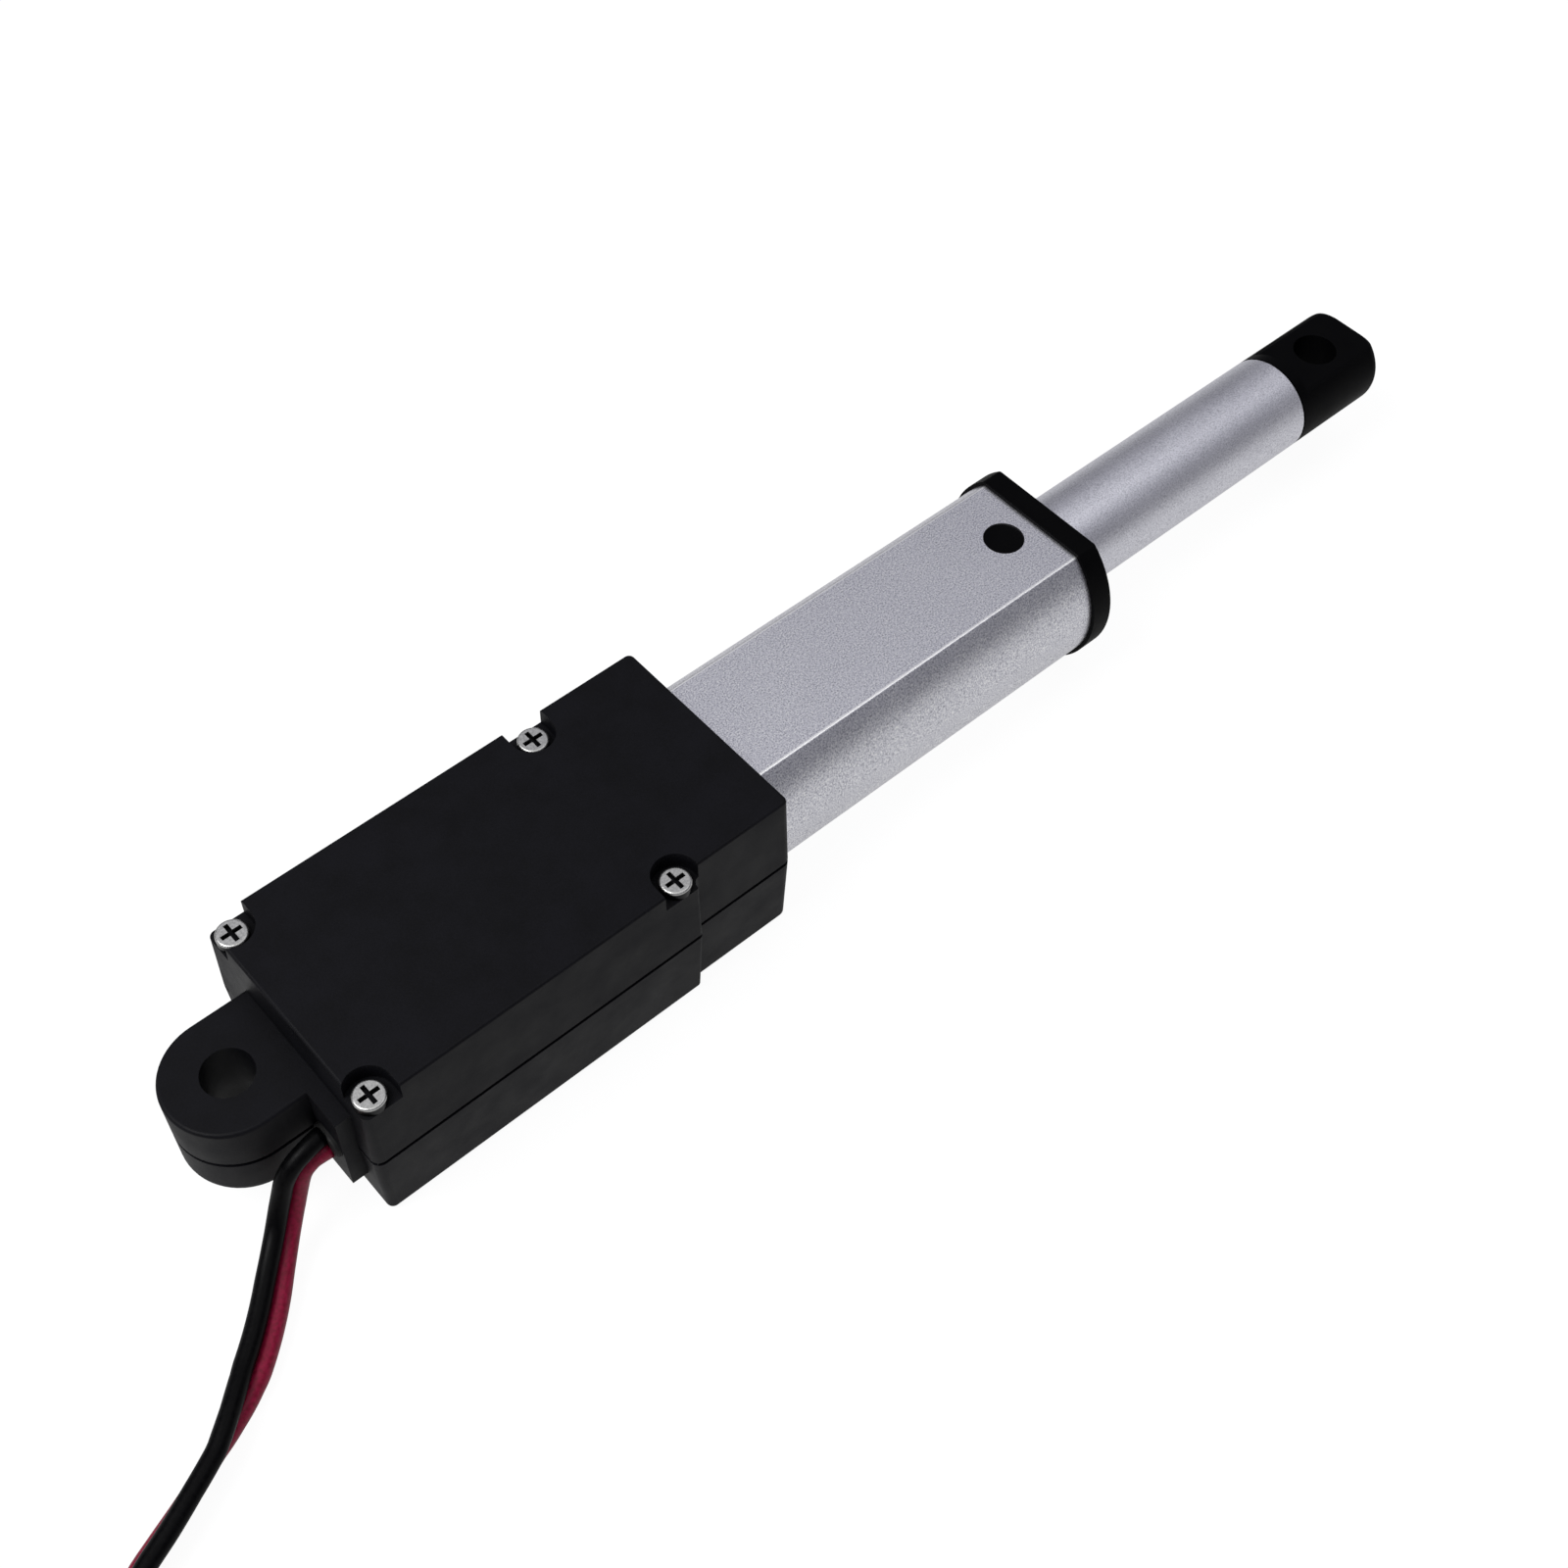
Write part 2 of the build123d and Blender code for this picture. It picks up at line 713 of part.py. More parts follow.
with BuildPart() as output_gear:
    spur_gear(last_gear_x, 0, wheel_teeth, half_tooth, output_seat_radius)
save(output_gear, "output_gear")

with BuildPart() as idler_pin:
    pin_length = front_plate_front - can_front
    disc(can_front, idler_pin_diameter / 2, pin_length, y=shaft_spacing)
save(idler_pin, "idler_pin")

post_spots = [(-4.6, 3.6), (-4.6, -3.6), (4.9, -4.0)]

with BuildPart() as gearbox_rear_plate:
    brick(
        (can_front, can_front + plate_thickness),
        (-motor_radius, motor_radius),
        (-motor_height / 2, motor_height / 2),
    )
    disc(can_front, motor_bush_diameter / 2, plate_thickness, mode=Mode.SUBTRACT)
    disc(can_front, idler_pin_diameter / 2, plate_thickness, y=shaft_spacing, mode=Mode.SUBTRACT)
save(gearbox_rear_plate, "gearbox_rear_plate")

with BuildPart() as gearbox_front_plate:
    brick(
        (front_plate_rear, front_plate_front),
        (-motor_radius, motor_radius),
        (-motor_height / 2, motor_height / 2),
    )
    brick(
        (front_plate_rear, front_plate_front),
        (-motor_radius, board_inner + seat_clearance),
        (-board_height / 2 - seat_clearance, board_height / 2 + seat_clearance),
        Mode.SUBTRACT,
    )
    journal_bore = bearing_bore / 2 + running_clearance
    disc(front_plate_rear, journal_bore, front_plate_thickness, mode=Mode.SUBTRACT)
    disc(
        front_plate_rear,
        idler_pin_diameter / 2,
        front_plate_thickness,
        y=shaft_spacing,
        mode=Mode.SUBTRACT,
    )
save(gearbox_front_plate, "gearbox_front_plate")

with BuildPart() as gearbox_posts:
    posts_x = can_front + plate_thickness
    for y, z in post_spots:
        disc(posts_x, post_diameter / 2, front_plate_rear - posts_x, y=y, z=z)
save(gearbox_posts, "gearbox_posts")

# Motor

with BuildPart() as motor_can:
    flatted_bar(can_rear, motor_radius, motor_height / 2, can_length)
    inner_half = motor_height / 2 - can_wall
    flatted_bar(can_rear, motor_radius - can_wall, inner_half, can_length - can_wall, Mode.SUBTRACT)
    disc(can_front - can_wall, motor_bush_diameter / 2, can_wall, mode=Mode.SUBTRACT)
save(motor_can, "motor_can")

with BuildPart() as motor_front_bush:
    bush_x = can_front - bush_length + plate_thickness
    disc(bush_x, motor_bush_diameter / 2, bush_length)
    disc(bush_x, motor_shaft_diameter / 2 + running_clearance, bush_length, mode=Mode.SUBTRACT)
save(motor_front_bush, "motor_front_bush")

with BuildPart() as motor_end_cap:
    flatted_bar(motor_rear, motor_radius - can_wall, inner_half, end_cap_proud + end_cap_depth)
    disc(
        motor_rear + end_cap_proud,
        commutator_diameter / 2 + brush_room,
        end_cap_depth,
        mode=Mode.SUBTRACT,
    )
    disc(
        motor_rear,
        motor_shaft_diameter / 2 + running_clearance,
        end_cap_proud,
        mode=Mode.SUBTRACT,
    )
save(motor_end_cap, "motor_end_cap")

with BuildPart() as motor_magnets:
    magnet_x = can_rear + end_cap_depth + 0.5
    magnet_length = can_front - can_wall - 0.5 - magnet_x
    magnet_outer = motor_radius - can_wall
    flatted_bar(magnet_x, magnet_outer, magnet_outer * 0.7, magnet_length)
    disc(magnet_x, magnet_outer - magnet_thickness, magnet_length, mode=Mode.SUBTRACT)
save(motor_magnets, "motor_magnets")

with BuildPart() as motor_shaft:
    shaft_x = motor_rear + shaft_end_gap
    disc(shaft_x, motor_shaft_diameter / 2, gears_start + gear_width - shaft_x)
save(motor_shaft, "motor_shaft")

with BuildPart() as motor_armature:
    armature_x = magnet_x + (magnet_length - armature_length) / 2
    with BuildSketch(across(armature_x)) as lamination:
        Circle(armature_diameter / 2)
        with PolarLocations(armature_diameter / 2 - slot_depth / 2, 3):
            Rectangle(slot_depth, slot_width, mode=Mode.SUBTRACT)
        Circle(motor_shaft_diameter / 2, mode=Mode.SUBTRACT)
    extrude(lamination.sketch, amount=armature_length)
save(motor_armature, "motor_armature")

with BuildPart() as motor_windings:
    for x in (armature_x - winding_length, armature_x + armature_length):
        with BuildSketch(across(x)) as winding:
            Circle(winding_diameter / 2)
            with PolarLocations(winding_diameter / 2 - slot_depth / 2, 3):
                Rectangle(slot_depth, slot_width, mode=Mode.SUBTRACT)
            Circle(motor_shaft_diameter / 2, mode=Mode.SUBTRACT)
        extrude(winding.sketch, amount=winding_length)
save(motor_windings, "motor_windings")

with BuildPart() as commutator:
    commutator_x = motor_rear + end_cap_proud + brush_room
    disc(commutator_x, commutator_diameter / 2, commutator_length)
    disc(commutator_x, motor_shaft_diameter / 2, commutator_length, mode=Mode.SUBTRACT)
save(commutator, "commutator")

with BuildPart() as motor_brushes:
    for side in (1, -1):
        inner = commutator_diameter / 2 + running_clearance
        outer = math.sqrt((commutator_diameter / 2 + brush_room) ** 2 - (brush_length / 2) ** 2)
        ends = sorted((side * inner, side * outer))
        brick(
            (commutator_x, commutator_x + brush_length),
            ends,
            (-brush_length / 2, brush_length / 2),
        )
save(motor_brushes, "motor_brushes")

with BuildPart() as motor_terminals:
    for z in (motor_wire_z, -motor_wire_z):
        cap_side = -math.sqrt((motor_radius - can_wall) ** 2 - (abs(z) + terminal_size / 2) ** 2)
        brick(
            (motor_rear + terminal_inset, motor_rear + terminal_inset + terminal_size),
            (wire_y + wire_diameter / 2, cap_side),
            (z - terminal_size / 2, z + terminal_size / 2),
        )
    flatted_bar(
        motor_rear,
        motor_radius - can_wall,
        inner_half,
        end_cap_proud,
        Mode.SUBTRACT,
    )
save(motor_terminals, "motor_terminals")

# Circuit board, switches and the wires inside

with BuildPart() as circuit_board:
    brick(
        (board_rear, board_front),
        (board_outer, board_inner),
        (-board_height / 2, board_height / 2),
    )
    for z in (supply_wire_z, -supply_wire_z, motor_wire_z, -motor_wire_z):
        pad = (z - pad_size / 2, z + pad_size / 2)
        reach = (wire_y + wire_diameter / 2, board_outer)
        brick((board_rear + pad_inset, board_rear + pad_inset + pad_length), reach, pad)
save(circuit_board, "circuit_board")


def limit_switch(x):
    """Flat switch on the board with an opening for its plunger."""
    z_span = (switch_z - switch_width / 2, switch_z + switch_width / 2)
    brick((x - switch_length / 2, x + switch_length / 2), (board_inner, switch_face), z_span)
    opening = plunger_size / 2 + plunger_clearance
    brick(
        (x - opening, x + opening),
        (switch_face - plunger_stem - plunger_travel - plunger_clearance, switch_face),
        (switch_z - opening, switch_z + opening),
        Mode.SUBTRACT,
    )


def plunger(x):
    half = plunger_size / 2
    brick(
        (x - half, x + half),
        (switch_face - plunger_stem, switch_face + plunger_proud),
        (switch_z - half, switch_z + half),
    )
    crown = faces().sort_by(Axis.Y)[-1].edges().filter_by(Axis.Z)
    chamfer(crown, length=plunger_size / 4)


with BuildPart() as rear_limit_switch:
    limit_switch(rear_plunger_x)
save(rear_limit_switch, "rear_limit_switch")

with BuildPart() as front_limit_switch:
    limit_switch(front_plunger_x)
save(front_limit_switch, "front_limit_switch")

with BuildPart() as rear_switch_plunger:
    plunger(rear_plunger_x)
save(rear_switch_plunger, "rear_switch_plunger")

with BuildPart() as front_switch_plunger:
    plunger(front_plunger_x)
save(front_switch_plunger, "front_switch_plunger")

with BuildPart() as board_diodes:
    for x in (rear_plunger_x + diode_gap, front_plunger_x - diode_gap):
        brick(
            (x - diode_length / 2, x + diode_length / 2),
            (board_inner, board_inner + diode_height),
            (-switch_z - diode_width / 2, -switch_z + diode_width / 2),
        )
save(board_diodes, "board_diodes")

with BuildPart() as supply_wires:
    wire_end = board_rear + pad_inset + pad_length
    for z in (supply_wire_z, -supply_wire_z):
        disc(cavity_rear, wire_diameter / 2, wire_end - cavity_rear, y=wire_y, z=z)
save(supply_wires, "supply_wires")

with BuildPart() as motor_wires:
    wire_start = motor_rear + terminal_inset
    for z in (motor_wire_z, -motor_wire_z):
        disc(wire_start, wire_diameter / 2, wire_end - wire_start, y=wire_y, z=z)
save(motor_wires, "motor_wires")

# Lead, coil and connector

coil_outer = coil_radius + (coil_turn_pitch + lead_thickness) / 2
coil_inner = coil_radius - (coil_turn_pitch + lead_thickness) / 2
first_turn = coil_radius + coil_turn_pitch / 2
entry_turn = math.radians(coil_entry_angle)
coil_x, coil_y = coil_centre
coil_z = floor_z + coil_lift
lead_start = (housing_rear - block_depth - grommet_proud, lead_y, 0)
lead_end = (
    coil_x + first_turn * math.cos(entry_turn),
    coil_y + first_turn * math.sin(entry_turn),
    coil_z + lead_width / 2,
)
lead_points = [Vector(*point) for point in (lead_start, *lead_bends, lead_end)]
lead_radii = []
for before, bend, after in zip(lead_points, lead_points[1:], lead_points[2:]):
    turn = (bend - before).get_angle(after - bend)
    shorter = min((bend - before).length, (after - bend).length)
    lead_radii.append(0.45 * shorter / math.tan(math.radians(turn / 2)))
print("lead bend radii", [round(radius, 2) for radius in lead_radii])

with BuildPart() as power_lead:
    with BuildLine() as lead_path:
        FilletPolyline(*lead_points, radius=lead_radii)
    with BuildSketch(Plane(origin=lead_path.line @ 0, z_dir=lead_path.line % 0)):
        Circle(lead_width / 2)
    sweep()
save(power_lead, "power_lead")
expected = math.pi * (lead_width / 2) ** 2 * lead_path.wire().length
print("lead tube", round(power_lead.part.volume, 1), "section times length", round(expected, 1))

with BuildPart() as lead_coil:
    with BuildSketch(Plane.XY.offset(coil_z)):
        with Locations((coil_x, coil_y)):
            Circle(coil_outer)
            Circle(coil_inner, mode=Mode.SUBTRACT)
    extrude(amount=lead_width)
    fillet(edges().filter_by(GeomType.CIRCLE), radius=lead_thickness / 2 - 0.1)
save(lead_coil, "lead_coil")

with BuildPart() as lead_connector:
    towards = math.radians(connector_angle)
    corner_reach = coil_inner - 0.3
    middle = math.sqrt(corner_reach**2 - (connector_length / 2) ** 2) - connector_width / 2
    body_plane = Plane(
        origin=(
            coil_x + middle * math.cos(towards),
            coil_y + middle * math.sin(towards),
            floor_z,
        ),
        x_dir=(math.sin(towards), -math.cos(towards), 0),
        z_dir=(0, 0, 1),
    )
    with BuildSketch(body_plane):
        Rectangle(connector_length, connector_width)
    extrude(amount=connector_height)
    fillet(edges().filter_by(Axis.Z), radius=0.3)
    mouth = Plane(
        origin=body_plane.from_local_coords((connector_length / 2, 0, connector_height / 2)),
        x_dir=body_plane.y_dir,
        z_dir=-body_plane.x_dir,
    )
    with BuildSketch(mouth):
        with GridLocations(socket_spacing, 0, 2, 1):
            Rectangle(socket_size, socket_size)
    extrude(amount=socket_depth, mode=Mode.SUBTRACT)
save(lead_connector, "lead_connector")
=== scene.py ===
# %% [markdown]
# # Miniature linear actuator
# The object is a small electric actuator: a motor and gears in a black housing turn a screw, and
# the screw pushes a rod out of an aluminium tube. Its solids could be modelled here, but they come
# from CAD as a frame of named nodes, because their holes and joints have to fit to a tenth of a
# millimetre. This script gives each node its finish, lays the twin lead, and sets up the camera,
# the floor and the light. Blender counts in metres here, so a length in millimetres is multiplied
# by MM.

# %% Load the frame
import math

import bmesh
import bpy
from mathutils import Matrix, Vector


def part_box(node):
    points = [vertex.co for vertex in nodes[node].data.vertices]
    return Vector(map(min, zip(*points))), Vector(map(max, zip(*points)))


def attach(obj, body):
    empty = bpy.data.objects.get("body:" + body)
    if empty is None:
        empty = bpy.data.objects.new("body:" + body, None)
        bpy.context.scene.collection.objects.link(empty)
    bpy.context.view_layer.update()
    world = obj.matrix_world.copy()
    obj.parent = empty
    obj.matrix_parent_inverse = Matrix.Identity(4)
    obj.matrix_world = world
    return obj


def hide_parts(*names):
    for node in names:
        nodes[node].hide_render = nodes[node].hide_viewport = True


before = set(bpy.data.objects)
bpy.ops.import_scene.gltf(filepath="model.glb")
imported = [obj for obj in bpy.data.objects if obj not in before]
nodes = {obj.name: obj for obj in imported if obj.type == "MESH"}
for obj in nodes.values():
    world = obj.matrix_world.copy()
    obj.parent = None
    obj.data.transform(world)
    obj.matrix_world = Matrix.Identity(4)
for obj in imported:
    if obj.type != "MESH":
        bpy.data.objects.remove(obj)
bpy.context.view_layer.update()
MM = 0.001
UP = Vector((0, 0, 1))
scene = bpy.context.scene

# %% [markdown]
# ## Camera
# The photograph was taken from above the right rear. A camera could be moved by hand until the
# picture fits, but small errors of place, lens and roll hide each other. These values were worked
# out from the straight edges and the screws of the housing, so that all lengths agree at once.

# %% Camera
CAMERA_PLACE = Vector((-19.82, -78.15, 135.46)) * MM
CAMERA_AIM = Vector((52.95, 0.91, -8.95)) * MM
CAMERA_ROLL = math.radians(1.69)
CAMERA_LENS = 48.39
SENSOR_WIDTH = 36.0
NEAREST_SEEN = 5 * MM

camera_data = bpy.data.cameras.new("camera")
camera_data.sensor_width = SENSOR_WIDTH
camera_data.lens = CAMERA_LENS
camera_data.clip_start = NEAREST_SEEN
camera = bpy.data.objects.new("camera", camera_data)
scene.collection.objects.link(camera)
aimed = (CAMERA_AIM - CAMERA_PLACE).to_track_quat("-Z", "Y").to_matrix()
rolled = aimed @ Matrix.Rotation(CAMERA_ROLL, 3, "Z")
camera.matrix_world = Matrix.Translation(CAMERA_PLACE) @ rolled.to_4x4()
scene.camera = camera
print("camera to the part", round((CAMERA_AIM - CAMERA_PLACE).length, 4))

# %% [markdown]
# ## Colours and shader nodes
# A material is a small network of shader nodes. It could be wired by hand in the Shader Editor;
# one function that adds a node with its settings, fixed inputs and links does the same in a form
# that can be read and changed. Colours are picked on a screen, as hex values, but light is added
# up in linear values, so another function turns the first into the second.

# %% Colours and nodes


def linear(hex_colour):
    """Linear red, green, blue and alpha of an sRGB colour such as 8A8A90."""
    parts = [int(hex_colour[i : i + 2], 16) / 255 for i in (0, 2, 4)]
    return [c / 12.92 if c <= 0.04045 else ((c + 0.055) / 1.055) ** 2.4 for c in parts] + [1.0]


def add_node(tree, kind, settings=None, inputs=None, links=None, stops=()):
    """Adds one shader node.

    Its settings are its properties, its inputs fixed values, and its links wires from other
    nodes. The stops of a colour ramp are pairs of a position and a hex colour.
    """
    made = tree.nodes.new(kind)
    for name, value in (settings or {}).items():
        setattr(made, name, value)
    for name, value in (inputs or {}).items():
        made.inputs[name].default_value = value
    for name, source in (links or {}).items():
        tree.links.new(source, made.inputs[name])
    for _ in stops[2:]:
        made.color_ramp.elements.new(0.5)
    for number, (position, colour) in enumerate(stops):
        made.color_ramp.elements[number].position = position
        made.color_ramp.elements[number].color = linear(colour)
    return made


print("screen grey 808080 in light", round(linear("808080")[0], 3))

# %% [markdown]
# ## Start and end of a material
# Plastic, metal and rubber look the same all the way through, so their patterns are read from
# Object coordinates: the place in space, in metres. An unwrapped UV map would do too, but it takes
# work on each piece, and its patterns stretch. The relief of a finish is some hundredths of a
# millimetre deep. As mesh it would need millions of faces, so it is a bump, which only tilts the
# light.

# %% Open and close a material


def new_material(name):
    """Empty material with its tree, and the output of its Object coordinates."""
    material = bpy.data.materials.new(name)
    material.use_nodes = True
    tree = material.node_tree
    tree.nodes.clear()
    place = add_node(tree, "ShaderNodeTexCoord").outputs["Object"]
    return material, tree, place


def close_material(tree, shader, relief, strength, depth_mm=0.02):
    """Gives the shader a bump from a relief between 0 and 1, and joins it to an output."""
    bump = add_node(
        tree,
        "ShaderNodeBump",
        inputs={"Strength": strength, "Distance": depth_mm * MM},
        links={"Height": relief},
    )
    tree.links.new(bump.outputs["Normal"], shader.inputs["Normal"])
    add_node(tree, "ShaderNodeOutputMaterial", links={"Surface": shader.outputs["BSDF"]})


print("materials before the first finish", len(bpy.data.materials))

# %% [markdown]
# ## Grain
# No surface of the real part is one flat colour: moulds, blasting, grinding and handling leave
# grain. A photograph of grain could be wrapped on, but it repeats and blurs up close. Noise is
# worked out at each point, and its scale follows from a grain size in millimetres. One noise can
# drive the colour, the roughness and the bump, which keeps the three together as they are on a
# real surface.

# %% Inputs for grain and for roughness
NOISE_ROUGHNESS = 0.55
NOISE_LOW, NOISE_HIGH = 0.3, 0.7
DARK_BELOW, LIGHT_ABOVE = 0.35, 0.65


def grains(size_mm, detail=2.0):
    """Inputs of a Noise Texture whose grains are about size_mm wide."""
    return {"Scale": 1 / (size_mm * MM), "Detail": detail, "Roughness": NOISE_ROUGHNESS}


def roughness_range(low, high):
    """Inputs of a Map Range from a noise, between its usual values, to a roughness."""
    return {"From Min": NOISE_LOW, "From Max": NOISE_HIGH, "To Min": low, "To Max": high}


print("noise scale for grains of 0.1 mm", round(grains(0.1)["Scale"]))

# %% [markdown]
# ## One recipe for small pieces
# Most small pieces are moulded, ground, turned or pressed, and differ in tone, gloss and size of
# grain. Each could have a network of its own. One recipe with named values does for all of them:
# two tones, a range of roughness, a shallow bump. It also makes them easy to compare. Its first
# use is the lead's soft PVC, which is smooth and has a weak gloss.

# %% Grained finishes


def grained(name, dark, light, roughness, grain_mm, metallic=0.0, specular=0.5, bump=0.15):
    """Finish with grains of grain_mm: dark and light are its two tones, roughness its range."""
    material, tree, place = new_material(name)
    fine = add_node(
        tree, "ShaderNodeTexNoise", inputs=grains(grain_mm), links={"Vector": place}
    ).outputs["Fac"]
    tone = add_node(
        tree,
        "ShaderNodeValToRGB",
        links={"Fac": fine},
        stops=[(DARK_BELOW, dark), (LIGHT_ABOVE, light)],
    )
    gloss = add_node(
        tree,
        "ShaderNodeMapRange",
        inputs=roughness_range(*roughness),
        links={"Value": fine},
    )
    shader = add_node(
        tree,
        "ShaderNodeBsdfPrincipled",
        inputs={"Metallic": metallic, "Specular IOR Level": specular},
        links={"Base Color": tone.outputs["Color"], "Roughness": gloss.outputs["Result"]},
    )
    close_material(tree, shader, fine, bump)
    return material


black_pvc = grained(
    "black_pvc", "030304", "070708", (0.34, 0.46), 0.3, specular=0.07, bump=0.12
)
red_pvc = grained("red_pvc", "720C28", "8C1238", (0.34, 0.46), 0.3, specular=0.2, bump=0.12)
print("insulation", black_pvc.name, red_pvc.name)

# %% [markdown]
# ## Housing and front plastics
# The two housing shells are injection-moulded nylon filled with glass fibre. The mould was spark
# eroded, which leaves a matte pebble, and the fibres give large, faint clouds. The pebble could be
# sculpted or come from a picture; two noises of different size do it here, half and half, because
# they need no picture and never repeat. The real pebble is about 0.05 mm wide and is drawn at 0.12
# mm so that it shows. The front cap and the rod's tip have a finer pebble and a darker, duller
# skin.

# %% Nylon of the housing, the cap and the tip
NYLON_DARK_BELOW, NYLON_LIGHT_ABOVE = 0.38, 0.62
NYLON_ROUGHNESS = (0.46, 0.6)
NYLON_BUMP, NYLON_PEBBLE_DEPTH = 0.35, 0.03
GLASS_CLOUD = 3.0


def moulded_nylon(name, dark, light, pebble_mm, specular):
    """Black nylon with a pebble of pebble_mm and clouds; specular is the gloss of its skin."""
    material, tree, place = new_material(name)
    pebble = add_node(
        tree, "ShaderNodeTexNoise", inputs=grains(pebble_mm, 3.0), links={"Vector": place}
    ).outputs["Fac"]
    cloud = add_node(
        tree, "ShaderNodeTexNoise", inputs=grains(GLASS_CLOUD, 4.0), links={"Vector": place}
    ).outputs["Fac"]
    half_cloud = add_node(
        tree,
        "ShaderNodeMath",
        settings={"operation": "MULTIPLY"},
        inputs={1: 0.5},
        links={0: cloud},
    )
    mean = add_node(
        tree,
        "ShaderNodeMath",
        settings={"operation": "MULTIPLY_ADD"},
        inputs={1: 0.5},
        links={0: pebble, 2: half_cloud.outputs[0]},
    )
    tone = add_node(
        tree,
        "ShaderNodeValToRGB",
        links={"Fac": mean.outputs[0]},
        stops=[(NYLON_DARK_BELOW, dark), (NYLON_LIGHT_ABOVE, light)],
    )
    gloss = add_node(
        tree,
        "ShaderNodeMapRange",
        inputs=roughness_range(*NYLON_ROUGHNESS),
        links={"Value": cloud},
    )
    shader = add_node(
        tree,
        "ShaderNodeBsdfPrincipled",
        inputs={"Specular IOR Level": specular},
        links={"Base Color": tone.outputs["Color"], "Roughness": gloss.outputs["Result"]},
    )
    close_material(tree, shader, pebble, NYLON_BUMP, NYLON_PEBBLE_DEPTH)
    return material


housing_nylon = moulded_nylon("housing_nylon", "060609", "0D0D12", pebble_mm=0.12, specular=0.12)
cap_nylon = moulded_nylon("cap_nylon", "020203", "050506", pebble_mm=0.1, specular=0.04)
print("nylons", housing_nylon.name, cap_nylon.name)

# %% [markdown]
# ## Aluminium of the tube and the rod
# The outer tube is an aluminium extrusion with a flat top and round sides, bead blasted and clear
# anodised. Blasting leaves dents that sparkle as pale and dark specks, drawn at 0.13 mm where the
# real ones are about half of that. Its high, even roughness spreads highlights into soft bands.
# The seam between flat and round catches a highlight, and that highlight is painted on as a white
# tone by the distance from the middle plane. That line could also be a bevel with a material of
# its own; the painted tone gives it without a change to the CAD mesh.
# The rod has the same skin, but the seal wipes it at each stroke, so its specks are fainter and
# its sheen even.

# %% Blasted aluminium
BLASTED_SPECK = 0.13
BLASTED_CLOUD = 6.0
BLASTED_BUMP, DENT_DEPTH = 0.4, 0.03
# Half width of the painted highlight along the tube's seam, and the seam's distance from the
# middle, in mm.
SEAM_HALF_WIDTH = 0.1
TUBE_SEAM_Y = 5.4


def painted_seam_highlight(tree, place, tone, seam_mm):
    """The tone, turned white as a painted highlight within SEAM_HALF_WIDTH of the planes at
    seam_mm on both sides.
    """
    aside = add_node(tree, "ShaderNodeSeparateXYZ", links={"Vector": place}).outputs["Y"]
    beside = add_node(
        tree, "ShaderNodeMath", settings={"operation": "ABSOLUTE"}, links={0: aside}
    )
    near = add_node(
        tree,
        "ShaderNodeMath",
        settings={"operation": "COMPARE"},
        inputs={1: seam_mm * MM, 2: SEAM_HALF_WIDTH * MM},
        links={0: beside.outputs[0]},
    )
    seamed = add_node(
        tree,
        "ShaderNodeMix",
        settings={"data_type": "RGBA"},
        inputs={7: linear("FFFFFF")},
        links={0: near.outputs[0], 6: tone},
    )
    return seamed.outputs[2]


def blasted_aluminium(name, tones, roughness, seam_mm=None):
    """Speckled metal in three tones, with painted highlights along the seams at seam_mm from the
    middle if given.
    """
    material, tree, place = new_material(name)
    specks = add_node(
        tree, "ShaderNodeTexNoise", inputs=grains(BLASTED_SPECK, 2.5), links={"Vector": place}
    ).outputs["Fac"]
    cloud = add_node(
        tree, "ShaderNodeTexNoise", inputs=grains(BLASTED_CLOUD, 3.0), links={"Vector": place}
    ).outputs["Fac"]
    tone = add_node(
        tree,
        "ShaderNodeValToRGB",
        links={"Fac": specks},
        stops=list(zip((NOISE_LOW, 0.5, NOISE_HIGH), tones)),
    ).outputs["Color"]
    # Painted highlight: a white line along each seam, where the tube catches the light.
    if seam_mm is not None:
        tone = painted_seam_highlight(tree, place, tone, seam_mm)
    gloss = add_node(
        tree,
        "ShaderNodeMapRange",
        inputs=roughness_range(*roughness),
        links={"Value": cloud},
    )
    shader = add_node(
        tree,
        "ShaderNodeBsdfPrincipled",
        inputs={"Metallic": 1.0},
        links={"Base Color": tone, "Roughness": gloss.outputs["Result"]},
    )
    close_material(tree, shader, specks, BLASTED_BUMP, DENT_DEPTH)
    return material


tube_aluminium = blasted_aluminium(
    "blasted_aluminium", ("9A9AA4", "DADAE2", "FFFFFF"), (0.35, 0.42), TUBE_SEAM_Y
)
rod_aluminium = blasted_aluminium(
    "wiped_aluminium", ("BCBCC4", "DEDEE6", "F4F4FA"), (0.42, 0.48)
)
print("aluminium", tube_aluminium.name, rod_aluminium.name)

# %% [markdown]
# ## Metals inside
# The screw, shafts and plates are ground steel, the gears sintered steel, the pinion and bushes
# turned brass, and the windings enamelled copper. Turning marks could be drawn as rings round each
# axis. These pieces are 1 to 10 mm across and mostly hidden, so an even grain with the right tone
# and gloss is enough.

# %% Steels, brass and copper
# Ground steel is the smoothest: its highlights are clear, with soft edges.
ground_steel = grained(
    "ground_steel", "9A9A9C", "BBBBBD", (0.22, 0.34), 0.1, metallic=1.0, bump=0.08
)
# Sintered steel is pressed powder: its pores make it grey and dull.
sintered_steel = grained(
    "sintered_steel", "86847E", "A4A29C", (0.4, 0.55), 0.12, metallic=1.0, bump=0.3
)
# Turned brass is warm yellow, with the gloss of a fresh cut.
turned_brass = grained(
    "turned_brass", "B8924C", "D2AC62", (0.24, 0.36), 0.12, metallic=1.0, bump=0.1
)
# Enamel darkens copper wire to red-brown; a grain of 0.2 mm stands for the turns of the wire.
enamelled_copper = grained(
    "enamelled_copper", "9C4A26", "C4683A", (0.3, 0.42), 0.2, metallic=1.0, bump=0.3
)
print("metals", ground_steel.name, sintered_steel.name, turned_brass.name, enamelled_copper.name)
